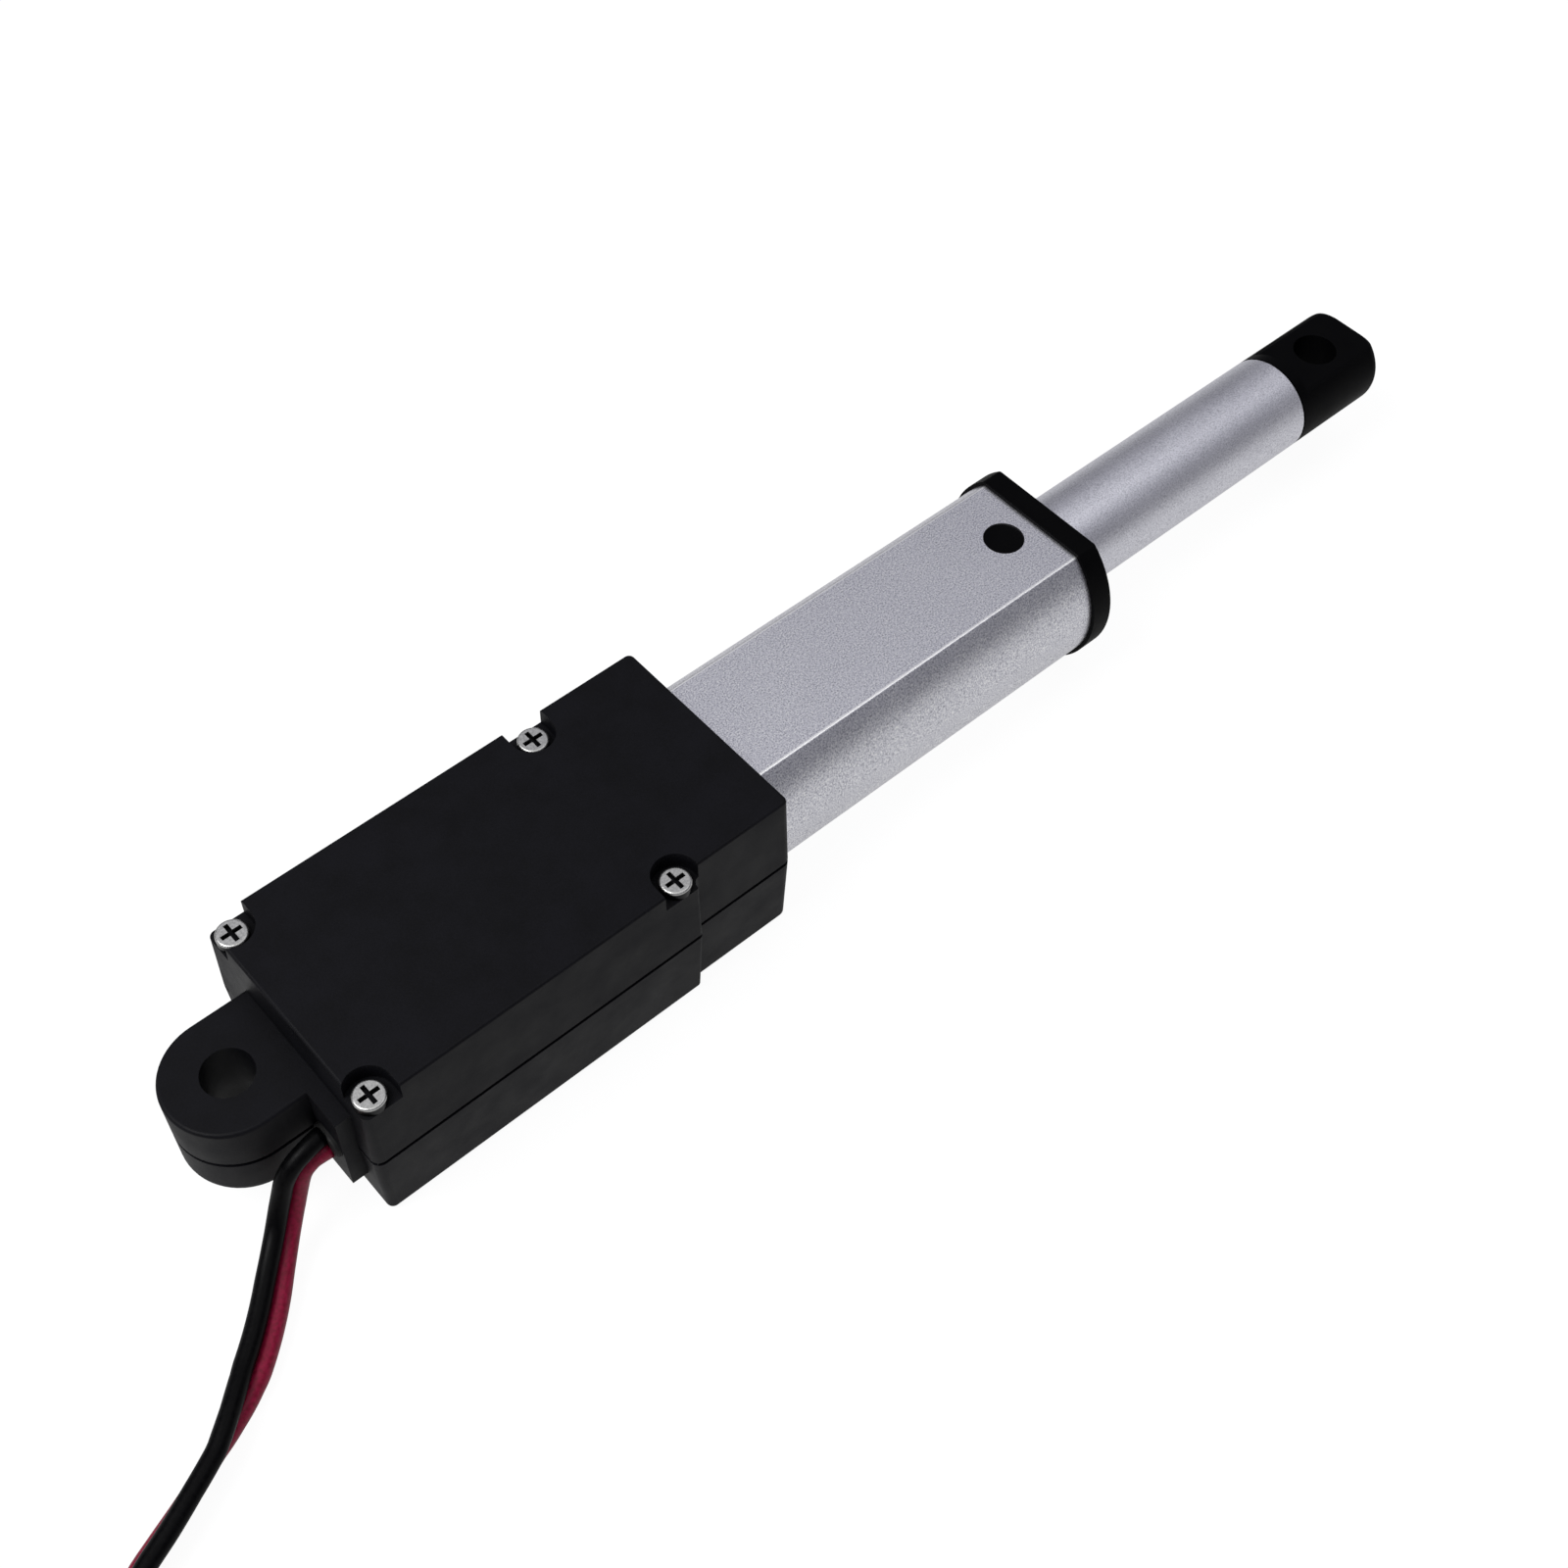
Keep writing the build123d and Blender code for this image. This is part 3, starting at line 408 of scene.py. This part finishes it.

# %% [markdown]
# ## Plated screws
# The four housing screws are steel with bright zinc plating. The cross recess lies in shade,
# and that shade is painted on, nearly black. The faces of the recess could be picked and given a
# second material. All four heads end at one height, so a painted shade that darkens everything
# below the rim does the same on loose triangles, where no face is easy to pick; it darkens the
# side of each head too.

# %% Zinc plating with painted shade below the rim
SCREW_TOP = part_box("shell_screws")[1].z
RECESS_START = 0.14 * MM
RECESS_FADE = 0.08 * MM
PLATING_GRAIN = 0.15
PLATING_ROUGHNESS = (0.3, 0.4)

plated_screw, screw_tree, screw_place = new_material("plated_screw_steel")
plating = add_node(
    screw_tree,
    "ShaderNodeTexNoise",
    inputs=grains(PLATING_GRAIN),
    links={"Vector": screw_place},
).outputs["Fac"]
level = add_node(screw_tree, "ShaderNodeSeparateXYZ", links={"Vector": screw_place}).outputs["Z"]
above_recess = add_node(
    screw_tree,
    "ShaderNodeMapRange",
    inputs={
        "From Min": SCREW_TOP - RECESS_START - RECESS_FADE,
        "From Max": SCREW_TOP - RECESS_START,
    },
    links={"Value": level},
)
zinc = add_node(
    screw_tree,
    "ShaderNodeValToRGB",
    links={"Fac": plating},
    stops=[(DARK_BELOW, "B0B0AE"), (LIGHT_ABOVE, "CCCCCA")],
)
# Painted shade: below the rim the zinc turns near-black (141416), in the recess and on the head's
# side.
zinc_with_painted_shade = add_node(
    screw_tree,
    "ShaderNodeMix",
    settings={"data_type": "RGBA"},
    inputs={6: linear("141416")},
    links={0: above_recess.outputs["Result"], 7: zinc.outputs["Color"]},
)
screw_gloss = add_node(
    screw_tree,
    "ShaderNodeMapRange",
    inputs=roughness_range(*PLATING_ROUGHNESS),
    links={"Value": plating},
)
screw_shader = add_node(
    screw_tree,
    "ShaderNodeBsdfPrincipled",
    inputs={"Metallic": 1.0},
    links={"Base Color": zinc_with_painted_shade.outputs[2], "Roughness": screw_gloss.outputs["Result"]},
)
close_material(screw_tree, screw_shader, plating, 0.04)
print("screw heads end at", round(SCREW_TOP, 5))

# %% [markdown]
# ## Small plastics, rubber and carbon
# What is left is moulded or pressed: brushes and magnets in the motor, slides and switches round
# the screw, the board, the seal, the connector and the tie. One grey material would do for what is
# hidden. Each piece gets its own stuff instead, because a cutaway view or a reuse shows them.

# %% Finishes of the small pieces
# Brushes are pressed carbon: black, dry and dull.
carbon = grained("brush_carbon", "101010", "1C1C1C", (0.5, 0.65), 0.1, bump=0.3)
# Ferrite magnets are a dark ceramic with a faint metal sheen.
ferrite = grained("ferrite_magnet", "242426", "333336", (0.45, 0.6), 0.15, metallic=0.3, bump=0.3)
# Acetal slides well and looks waxy; its grain is only a slow change of tone.
acetal = grained("white_acetal", "E0DED2", "ECEAE0", (0.35, 0.45), 0.4)
carrier_plastic = grained("carrier_acetal", "2A2A2C", "363638", (0.35, 0.5), 0.4)
# Solder mask is a glossy green lacquer on the board.
solder_mask = grained("solder_mask", "12502A", "1A6236", (0.25, 0.4), 0.5)
# The limit switches are black with a red plunger.
switch_plastic = grained("switch_plastic", "1E1E20", "2A2A2D", (0.4, 0.55), 0.2)
plunger_plastic = grained("plunger_plastic", "B0261C", "C83428", (0.35, 0.45), 0.2)
# Rubber hardly shines at all, and its skin is the roughest.
black_rubber = grained(
    "black_rubber", "0C0C0C", "181818", (0.55, 0.75), 0.15, specular=0.3, bump=0.3
)
# Nylon without dye, on the connector, is the colour of cream; the tie's is black.
connector_nylon = grained("natural_nylon", "D8D5C6", "E8E5D8", (0.32, 0.45), 0.4)
tie_nylon = grained("tie_nylon", "0F0F10", "1C1C1E", (0.4, 0.5), 0.2)
print("materials so far", len(bpy.data.materials))

# %% [markdown]
# ## Finishes on the CAD nodes
# A node is one real piece, such as a gear or a shell. Materials could be dropped on the nodes one
# by one in the viewport. A table of pieces by finish is shorter, and shows at a glance which
# pieces are made of the same stuff.

# %% Table of pieces by finish
finishes = {
    housing_nylon: ["upper_shell", "lower_shell"],
    cap_nylon: ["front_cap", "rod_tip"],
    tube_aluminium: ["outer_tube"],
    rod_aluminium: ["rod_tube"],
    plated_screw: ["shell_screws"],
    black_pvc: ["power_lead", "lead_coil", "supply_wires", "motor_wires"],
    connector_nylon: ["lead_connector"],
    black_rubber: ["cable_grommet", "rod_seal"],
    ground_steel: [
        "lead_screw", "retaining_clip", "bearing_outer_ring", "bearing_inner_ring",
        "bearing_balls", "motor_shaft", "motor_armature", "motor_can", "idler_pin",
        "gearbox_rear_plate", "gearbox_front_plate", "gearbox_posts",
    ],
    sintered_steel: ["first_gear", "second_gear", "third_gear"],
    turned_brass: ["bearing_cage", "motor_pinion", "output_gear", "motor_front_bush"],
    enamelled_copper: ["motor_windings", "commutator", "motor_terminals"],
    carbon: ["motor_brushes"],
    ferrite: ["motor_magnets"],
    acetal: ["drive_nut", "motor_end_cap"],
    carrier_plastic: ["nut_carrier"],
    solder_mask: ["circuit_board"],
    switch_plastic: ["rear_limit_switch", "front_limit_switch", "board_diodes"],
    plunger_plastic: ["rear_switch_plunger", "front_switch_plunger"],
}
for finish, names in finishes.items():
    for name in names:
        nodes[name].data.materials.clear()
        nodes[name].data.materials.append(finish)
print("nodes with a finish", sum(len(names) for names in finishes.values()), "of", len(nodes))

# %% [markdown]
# ## Twin lead: its way
# The lead is two thin insulated wires joined side by side. It comes straight out of the grommet,
# bends down to the floor and runs off to the rear right. What the photograph doesn't show is wound
# in two turns, tied, and ends in a two-pin connector. Its way could be a simulated rope, but a
# rope rarely falls where a photograph has it. A NURBS line is used: its control points pull it
# without being on it, which gives the slow bends of a soft lead. These first points follow the
# photograph.

# %% Points that follow the photograph, in millimetres
WIRE = 1.5 * MM
LEAD_POINTS = [
    (2.9, -6.6, 0.0),
    (0.4, -6.6, 0.0),
    (-1.2, -6.95, -3.6),
    (-3.2, -8.4, -5.7),
    (-7.5, -12.9, -6.35),
    (-12.3, -16.6, -6.35),
    (-17.8, -19.5, -6.35),
    (-25.5, -22.5, -6.35),
    (-31.7, -31.2, -6.1),
]
route = [Vector(point) for point in LEAD_POINTS]
print("points before the coil", len(route))

# %% [markdown]
# A person winds the spare lead round two fingers, so its turns lie one inside the other. A spiral
# would drift inwards all the time; here the line stays round and steps in by one wire's width over
# a short stretch, as a wound lead does where it crosses over to the next turn.

# %% Two turns of the coil
COIL_ENTRY = -45.0
COIL_OUTER_TURN = 15.9
COIL_INNER_TURN = 14.3
LAST_TURN = 12.7
COIL_HEIGHT = -6.0
LAST_WOUND = 740
TURN_STEP = 20
STEPS_INWARD = [
    (310, 360, COIL_OUTER_TURN - COIL_INNER_TURN),
    (600, 690, COIL_INNER_TURN - LAST_TURN),
]

coil_low, coil_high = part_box("lead_coil")
coil_middle = (coil_low + coil_high) / 2 / MM
coil_centre = Vector((coil_middle.x, coil_middle.y, COIL_HEIGHT))


def turn_radius(wound):
    """Radius of the coil's line in mm after so many degrees, with a soft start to each step."""
    radius = COIL_OUTER_TURN
    for start, end, step in STEPS_INWARD:
        part = min(1.0, max(0.0, (wound - start) / (end - start)))
        radius -= step * part * part * (3 - 2 * part)
    return radius


for wound in range(0, LAST_WOUND + 1, TURN_STEP):
    turned = math.radians(COIL_ENTRY - wound)
    outward = Vector((math.cos(turned), math.sin(turned), 0))
    route.append(coil_centre + outward * turn_radius(wound))
print("points with the coil", len(route))

# %% [markdown]
# The lead ends square in the back of its connector. Two last points in line with the connector
# keep that end straight; a single point would let the line arrive at a slant.

# %% Into the connector
CONNECTOR_TURN = math.radians(-125)
CONNECTOR_LENGTH = 8.0
STRAIGHT_END = 3.0

connector_low, connector_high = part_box("lead_connector")
connector_middle = (connector_low + connector_high) / 2 / MM
heading = Vector((math.sin(CONNECTOR_TURN), -math.cos(CONNECTOR_TURN), 0))
connector_centre = Vector((connector_middle.x, connector_middle.y, COIL_HEIGHT))
connector_back = connector_centre - heading * CONNECTOR_LENGTH / 2
route.append(connector_back - heading * STRAIGHT_END)
route.append(connector_back)
print("connector heads to", [round(x, 3) for x in heading])

# %% [markdown]
# The curve is used as a ruler only: it is turned into a row of points and removed again. A curve
# could carry the wire itself, as a round bevel, but it twists by a rule of its own, and the lead's
# roll has to follow the photograph. The points also give the length at which each of them lies.

# %% Line of the lead
STEPS_PER_POINT = 14

route_curve = bpy.data.curves.new("lead_route", "CURVE")
route_curve.dimensions = "3D"
route_curve.resolution_u = STEPS_PER_POINT
spline = route_curve.splines.new("NURBS")
spline.points.add(len(route) - 1)
for control, point in zip(spline.points, route):
    control.co = (*(point * MM), 1.0)
spline.order_u = 3
spline.use_endpoint_u = True
route_object = bpy.data.objects.new("lead_route", route_curve)
scene.collection.objects.link(route_object)
route_mesh = bpy.data.meshes.new_from_object(route_object)
line = [vertex.co.copy() for vertex in route_mesh.vertices]
bpy.data.objects.remove(route_object)
bpy.data.meshes.remove(route_mesh)
distances = [0.0]
for before, after in zip(line, line[1:]):
    distances.append(distances[-1] + (after - before).length)

# %% [markdown]
# ## Twin lead: its roll
# The pair of wires rolls about its line as it goes: it stands on edge where it leaves the housing,
# shows more of its red wire further on, and has that wire below the black one in the coil. A
# steady twist would be simpler, but the photograph shows the red wire coming and going. The roll
# is given at stations along the lead, and read between them.

# %% Roll stations, as (distance in mm, roll in degrees)
ROLL_STATIONS = [
    (0, -75), (1.5, -88), (3, -88), (6, -68), (9, -58), (12, -47), (15, -45), (18, -46),
    (21, -78), (24, -109), (27, -110), (30, -117), (33, -119), (42, -105), (50, -90),
    (1000, -90),
]


def roll_at(distance):
    """Roll of the lead in radians at a distance in mm along it."""
    for (start, first), (end, second) in zip(ROLL_STATIONS, ROLL_STATIONS[1:]):
        if distance <= end:
            part = (distance - start) / (end - start)
            return math.radians(first + (second - first) * part)
    return math.radians(ROLL_STATIONS[-1][1])


def directions_at(number):
    """Forward direction, and the one from the black wire to the red, at a point of the line."""
    ahead = line[min(number + 1, len(line) - 1)]
    behind = line[max(number - 1, 0)]
    forward = (ahead - behind).normalized()
    level = UP.cross(forward).normalized()
    upward = forward.cross(level)
    roll = roll_at(distances[number] / MM)
    return forward, level * math.cos(roll) + upward * math.sin(roll)


print("roll at 10 mm, in degrees", round(math.degrees(roll_at(10)), 1))

# %% [markdown]
# ## Twin lead: its wires
# Each wire is a round PVC tube round thin strands. One flat strip with a groove would show the
# same outline, but two round wires catch the light as the real ones do, and take a colour each. A
# ring of vertices is extruded from point to point along the line, half a wire's width to its side,
# and both ends are closed.

# %% Both wires
WIRE_SIDES = 14


def wire_centre(number, side):
    """Middle of the black wire (side -1) or the red one (side 1) at a point of the line."""
    return line[number] + directions_at(number)[1] * side * WIRE / 2


def ring_place(number, side, angle):
    """Place on the wire's skin at a point of the line, at an angle round the wire."""
    forward, across = directions_at(number)
    normal = forward.cross(across)
    offset = across * math.cos(angle) + normal * math.sin(angle)
    return wire_centre(number, side) + offset * (WIRE / 2)


def ring_angle(number, side, place):
    """Angle round the wire of a place on its ring at a point of the line."""
    forward, across = directions_at(number)
    offset = place - wire_centre(number, side)
    return math.atan2(offset.dot(forward.cross(across)), offset.dot(across))


def add_wire(mesh, side, material_index):
    """Extrudes a round wire along the line, on the given side of it, and closes both ends."""
    angles = [2 * math.pi * step / WIRE_SIDES for step in range(WIRE_SIDES)]
    ring = [mesh.verts.new(ring_place(0, side, angle)) for angle in angles]
    edges = [mesh.edges.new((ring[i], ring[i - 1])) for i in range(len(ring))]
    faces = [mesh.faces.new(ring)]
    for number in range(1, len(line)):
        grown = bmesh.ops.extrude_edge_only(mesh, edges=edges)["geom"]
        faces += [item for item in grown if isinstance(item, bmesh.types.BMFace)]
        fresh = [item for item in grown if isinstance(item, bmesh.types.BMVert)]
        for vertex in fresh:
            vertex.co = ring_place(number, side, ring_angle(number - 1, side, vertex.co))
        edges = [
            item for item in grown
            if isinstance(item, bmesh.types.BMEdge) and all(v in fresh for v in item.verts)
        ]
    faces += bmesh.ops.holes_fill(mesh, edges=edges)["faces"]
    for face in faces:
        face.material_index = material_index
        face.smooth = True


lead_mesh = bmesh.new()
add_wire(lead_mesh, -1, 0)
add_wire(lead_mesh, 1, 1)
bmesh.ops.recalc_face_normals(lead_mesh, faces=lead_mesh.faces)
print("lead faces", len(lead_mesh.faces))

# %% [markdown]
# A bmesh is only a draft in memory. To be seen it becomes an object, which could be done anew for
# each piece; the same few steps are needed every time, so a function does them. Each new piece
# also says which body carries it and which of the part's materials it takes. The lead stands in
# for the plain tube and ring that CAD has in its place.
#
# An extrusion puts each vertex in its place, but hands back its edges and faces in an order that
# changes from run to run. Nobody sees that order, yet a file or a measure can follow it. So both
# are sorted by the numbers of their vertices, and the piece comes out the same each time.

# %% From a bmesh to a piece


def settle_order(mesh):
    """Sorts the edges and faces of a bmesh by the numbers of their vertices."""
    mesh.verts.index_update()
    for items in (mesh.edges, mesh.faces):
        in_order = sorted(items, key=lambda item: sorted(v.index for v in item.verts))
        for number, item in enumerate(in_order):
            item.index = number
        items.sort()


def finish_piece(name, mesh, materials, body, smooth_degrees=None):
    """Object from a bmesh, with its materials, riding on a body."""
    settle_order(mesh)
    data = bpy.data.meshes.new(name)
    mesh.to_mesh(data)
    mesh.free()
    if smooth_degrees is not None:
        data.shade_smooth()
        data.set_sharp_from_angle(angle=math.radians(smooth_degrees))
    for material in materials:
        data.materials.append(material)
    piece = bpy.data.objects.new(name, data)
    scene.collection.objects.link(piece)
    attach(piece, body)
    return piece


twin_lead = finish_piece(
    "twin_lead", lead_mesh, [black_pvc, red_pvc], "housing"
)
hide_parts("power_lead", "lead_coil")
print("twin lead polygons", len(twin_lead.data.polygons))

# %% [markdown]
# ## Tie round the coil
# A short strap of nylon holds the turns together, with its head on top. It could be a curve laid
# round the bundle. One box is simpler: its two ends are inset by the strap's thickness and
# deleted, the rims are bridged through the inside, and the long edges are rounded. That leaves an
# even wall and few faces.

# %% Place of the tie
TIE_TURN = math.radians(100)
TIE_WIDTH = 2.4
TIE_THICKNESS = 0.35
TIE_SLACK = 0.3
# A NURBS line runs a little inside the ring of its control points, by the cosine of half a step.
LINE_INSIDE = 0.985

tie_out = Vector((math.cos(TIE_TURN), math.sin(TIE_TURN), 0))
tie_along = Vector((-math.sin(TIE_TURN), math.cos(TIE_TURN), 0))
bundle_middle = (COIL_OUTER_TURN + COIL_INNER_TURN) / 2 * LINE_INSIDE
bundle_width = COIL_OUTER_TURN - COIL_INNER_TURN + WIRE / MM + TIE_SLACK
bundle_height = 2 * WIRE / MM


def tie_matrix(size, height=0.0):
    """Places a unit cube on the bundle: its x goes across the bundle, y along it, z up."""
    turn = Matrix((tie_out, tie_along, UP)).transposed().to_4x4()
    centre = coil_centre + UP * height + tie_out * bundle_middle
    return Matrix.Translation(centre * MM) @ turn @ Matrix.Diagonal((*(Vector(size) * MM), 1))


print("bundle", round(bundle_width, 2), "by", round(bundle_height, 2))

# %% Strap of the tie
STRAP_ROUNDING = 0.3

tie_mesh = bmesh.new()
strap_size = (bundle_width + 2 * TIE_THICKNESS, TIE_WIDTH, bundle_height + 2 * TIE_THICKNESS)
bmesh.ops.create_cube(tie_mesh, size=1.0, matrix=tie_matrix(strap_size))
ends = [face for face in tie_mesh.faces if abs(face.normal.dot(tie_along)) > 0.9]
bmesh.ops.inset_individual(tie_mesh, faces=ends, thickness=TIE_THICKNESS * MM)
rims = [list(face.edges) for face in ends]
bmesh.ops.delete(tie_mesh, geom=ends, context="FACES")
bmesh.ops.bridge_loops(tie_mesh, edges=rims[0] + rims[1])
long_edges = [
    edge for edge in tie_mesh.edges
    if abs((edge.verts[1].co - edge.verts[0].co).normalized().dot(tie_along)) > 0.9
]
bmesh.ops.bevel(
    tie_mesh,
    geom=long_edges,
    offset=STRAP_ROUNDING * MM,
    segments=3,
    profile=0.5,
    affect="EDGES",
    material=-1,
)
print("strap faces", len(tie_mesh.faces))

# %% [markdown]
# The head is the block that the strap is threaded through and locked in. Its slot and catch could
# be cut out, but they lie against the strap and never show, so a block with rounded edges is
# enough.

# %% Head of the tie
HEAD_LENGTH, HEAD_OVERHANG, HEAD_THICKNESS = 2.2, 0.6, 1.0
HEAD_LIFT = 0.3
HEAD_ROUNDING = 0.25

head = bmesh.ops.create_cube(
    tie_mesh,
    size=1.0,
    matrix=tie_matrix(
        (HEAD_LENGTH, TIE_WIDTH + HEAD_OVERHANG, HEAD_THICKNESS),
        bundle_height / 2 + TIE_THICKNESS + HEAD_LIFT,
    ),
)
head_edges = [edge for edge in tie_mesh.edges if edge.verts[0] in head["verts"]]
bmesh.ops.bevel(
    tie_mesh,
    geom=head_edges,
    offset=HEAD_ROUNDING * MM,
    segments=2,
    profile=0.5,
    affect="EDGES",
    material=-1,
)
bmesh.ops.recalc_face_normals(tie_mesh, faces=tie_mesh.faces)
coil_tie = finish_piece("coil_tie", tie_mesh, [tie_nylon], "housing", 35)
print("tie faces", len(coil_tie.data.polygons))

# %% [markdown]
# ## Connector contacts
# In each socket of the connector sits a contact of folded brass, seen only from the front. It
# could be folded from a sheet as the real one is; a box whose mouth is inset and pushed in looks
# the same from outside, and keeps a closed mesh.

# %% Contacts in the connector
SOCKET_SPACING = 2.5
CONTACT_LENGTH, CONTACT_WIDTH = 4.0, 1.2
CONTACT_WALL = 0.2
CONTACT_DEPTH = 2.5
CONTACT_FORWARD = 1.0

across_connector = Vector((-heading.y, heading.x, 0))
contact_turn = Matrix((heading, across_connector, UP)).transposed().to_4x4()
contact_size = Vector((CONTACT_LENGTH, CONTACT_WIDTH, CONTACT_WIDTH)) * MM
contact_mesh = bmesh.new()
for side in (-0.5, 0.5):
    beside = across_connector * side * SOCKET_SPACING
    centre = (connector_middle + beside + heading * CONTACT_FORWARD) * MM
    shape = Matrix.Translation(centre) @ contact_turn @ Matrix.Diagonal((*contact_size, 1))
    contact = bmesh.ops.create_cube(contact_mesh, size=1.0, matrix=shape)
    mouth = [
        face for face in {f for vertex in contact["verts"] for f in vertex.link_faces}
        if face.normal.dot(heading) > 0.9
    ]
    bmesh.ops.inset_individual(
        contact_mesh, faces=mouth, thickness=CONTACT_WALL * MM, depth=0.0
    )
    bmesh.ops.translate(
        contact_mesh, verts=mouth[0].verts, vec=heading * -CONTACT_DEPTH * MM
    )
connector_contacts = finish_piece(
    "connector_contacts", contact_mesh, [turned_brass], "housing"
)
print("contact faces", len(connector_contacts.data.polygons))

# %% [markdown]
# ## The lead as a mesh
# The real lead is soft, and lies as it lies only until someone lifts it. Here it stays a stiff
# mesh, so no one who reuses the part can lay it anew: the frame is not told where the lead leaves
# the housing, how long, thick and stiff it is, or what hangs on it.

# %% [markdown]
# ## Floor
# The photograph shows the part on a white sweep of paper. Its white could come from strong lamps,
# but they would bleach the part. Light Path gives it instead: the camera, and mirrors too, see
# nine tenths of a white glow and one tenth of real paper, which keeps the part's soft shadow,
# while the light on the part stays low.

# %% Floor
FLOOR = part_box("lower_shell")[0].z
FLOOR_GAP = 0.02 * MM
FLOOR_REACH = 3.0
PART_MIDDLE = Vector((0.05, 0, 0))
GLOW_SHARE = 0.9
GLOW_IN_METAL, GLOW_FOR_CAMERA = 0.7, 0.35

floor_mesh = bmesh.new()
floor_place = PART_MIDDLE + UP * (FLOOR - FLOOR_GAP)
bmesh.ops.create_grid(
    floor_mesh,
    x_segments=1,
    y_segments=1,
    size=FLOOR_REACH,
    matrix=Matrix.Translation(floor_place),
)
floor_data = bpy.data.meshes.new("floor")
floor_mesh.to_mesh(floor_data)
floor_mesh.free()
floor = bpy.data.objects.new("floor", floor_data)
scene.collection.objects.link(floor)
print("floor at", round(floor_place.z, 5))

# %% [markdown]
# The paper itself is matte and nearly white. A gloss on it would mirror the part, so it is a plain
# diffuse shader, mixed with a glow by what kind of ray looks at it.

# %% Paper of the floor
floor_material, floor_tree, _ = new_material("white_sweep")
paper = add_node(floor_tree, "ShaderNodeBsdfDiffuse", inputs={"Color": linear("F4F4F4")})
rays = add_node(floor_tree, "ShaderNodeLightPath").outputs
glow = add_node(
    floor_tree,
    "ShaderNodeMath",
    settings={"operation": "MULTIPLY_ADD"},
    inputs={1: GLOW_FOR_CAMERA, 2: GLOW_IN_METAL},
    links={0: rays["Is Camera Ray"]},
)
white = add_node(
    floor_tree,
    "ShaderNodeEmission",
    inputs={"Color": linear("FFFFFF")},
    links={"Strength": glow.outputs[0]},
)
seen = add_node(
    floor_tree,
    "ShaderNodeMath",
    settings={"operation": "MAXIMUM"},
    links={0: rays["Is Camera Ray"], 1: rays["Is Glossy Ray"]},
)
share = add_node(
    floor_tree,
    "ShaderNodeMath",
    settings={"operation": "MULTIPLY"},
    inputs={1: GLOW_SHARE},
    links={0: seen.outputs[0]},
)
mixed = add_node(
    floor_tree,
    "ShaderNodeMixShader",
    links={0: share.outputs[0], 1: paper.outputs[0], 2: white.outputs[0]},
)
add_node(floor_tree, "ShaderNodeOutputMaterial", links={"Surface": mixed.outputs[0]})
floor_data.materials.append(floor_material)
print("floor material", floor_material.name)

# %% [markdown]
# ## World
# A photographer's light tent surrounds the part: it is bright overhead, and dimmer halfway down
# its walls. It could be built from large lamps. A world whose tone goes by height is softer, and
# the dim belt is what draws the dark band along each round side of the tube. The camera itself
# sees plain white, again through Light Path.

# %% Sky by height
SKY_TONES = [(0.0, "8A8A8E"), (0.5, "74747A"), (0.8, "D2D2DA"), (0.95, "FFFFFF")]
SKY_STRENGTH = 0.9

world = bpy.data.worlds.new("studio")
scene.world = world
world.use_nodes = True
sky = world.node_tree
sky.nodes.clear()
direction = add_node(sky, "ShaderNodeTexCoord").outputs["Generated"]
height = add_node(sky, "ShaderNodeSeparateXYZ", links={"Vector": direction}).outputs["Z"]
dome = add_node(sky, "ShaderNodeValToRGB", links={"Fac": height}, stops=SKY_TONES)
light_dome = add_node(
    sky,
    "ShaderNodeBackground",
    inputs={"Strength": SKY_STRENGTH},
    links={"Color": dome.outputs["Color"]},
)
white_dome = add_node(sky, "ShaderNodeBackground", inputs={"Color": linear("FFFFFF")})
sky_rays = add_node(sky, "ShaderNodeLightPath")
sky_mix = add_node(
    sky,
    "ShaderNodeMixShader",
    links={
        0: sky_rays.outputs["Is Camera Ray"],
        1: light_dome.outputs[0],
        2: white_dome.outputs[0],
    },
)
add_node(sky, "ShaderNodeOutputWorld", links={"Surface": sky_mix.outputs[0]})
print("sky tones", len(SKY_TONES))

# %% [markdown]
# ## Lamps
# The sky alone lights the part from all round, which is soft but flat. Two area lamps add shape.
# The broad key lamp stands behind the part and to its left, and makes the rear faces and the round
# sides read as such. The small lamp ahead on the right is weak: it draws the fine highlight along
# the seam of the tube. Spot lamps could do it too, but their hard edges would show in the metal.

# %% Area lamps


def soft_lamp(name, place, power, size):
    """Square area lamp that points at the middle of the part."""
    data = bpy.data.lights.new(name, "AREA")
    data.energy = power
    data.size = size
    lamp = bpy.data.objects.new(name, data)
    scene.collection.objects.link(lamp)
    lamp.location = place
    lamp.rotation_euler = (PART_MIDDLE - Vector(place)).to_track_quat("-Z", "Y").to_euler()
    return lamp


key_lamp = soft_lamp("key_lamp", (-0.35, 0.1, 0.55), 3.0, 0.35)
crease_lamp = soft_lamp("crease_lamp", (0.26, -0.1, 0.45), 0.08, 0.12)
print("lamps", key_lamp.name, crease_lamp.name)

# %% [markdown]
# ## Colours as they are written
# Blender's own view transform softens bright tones as film does, which turns a white floor grey.
# The Standard view shows each colour as it is written, and a product picture needs that.

# %% View
scene.view_settings.view_transform = "Standard"
print("view", scene.view_settings.view_transform)
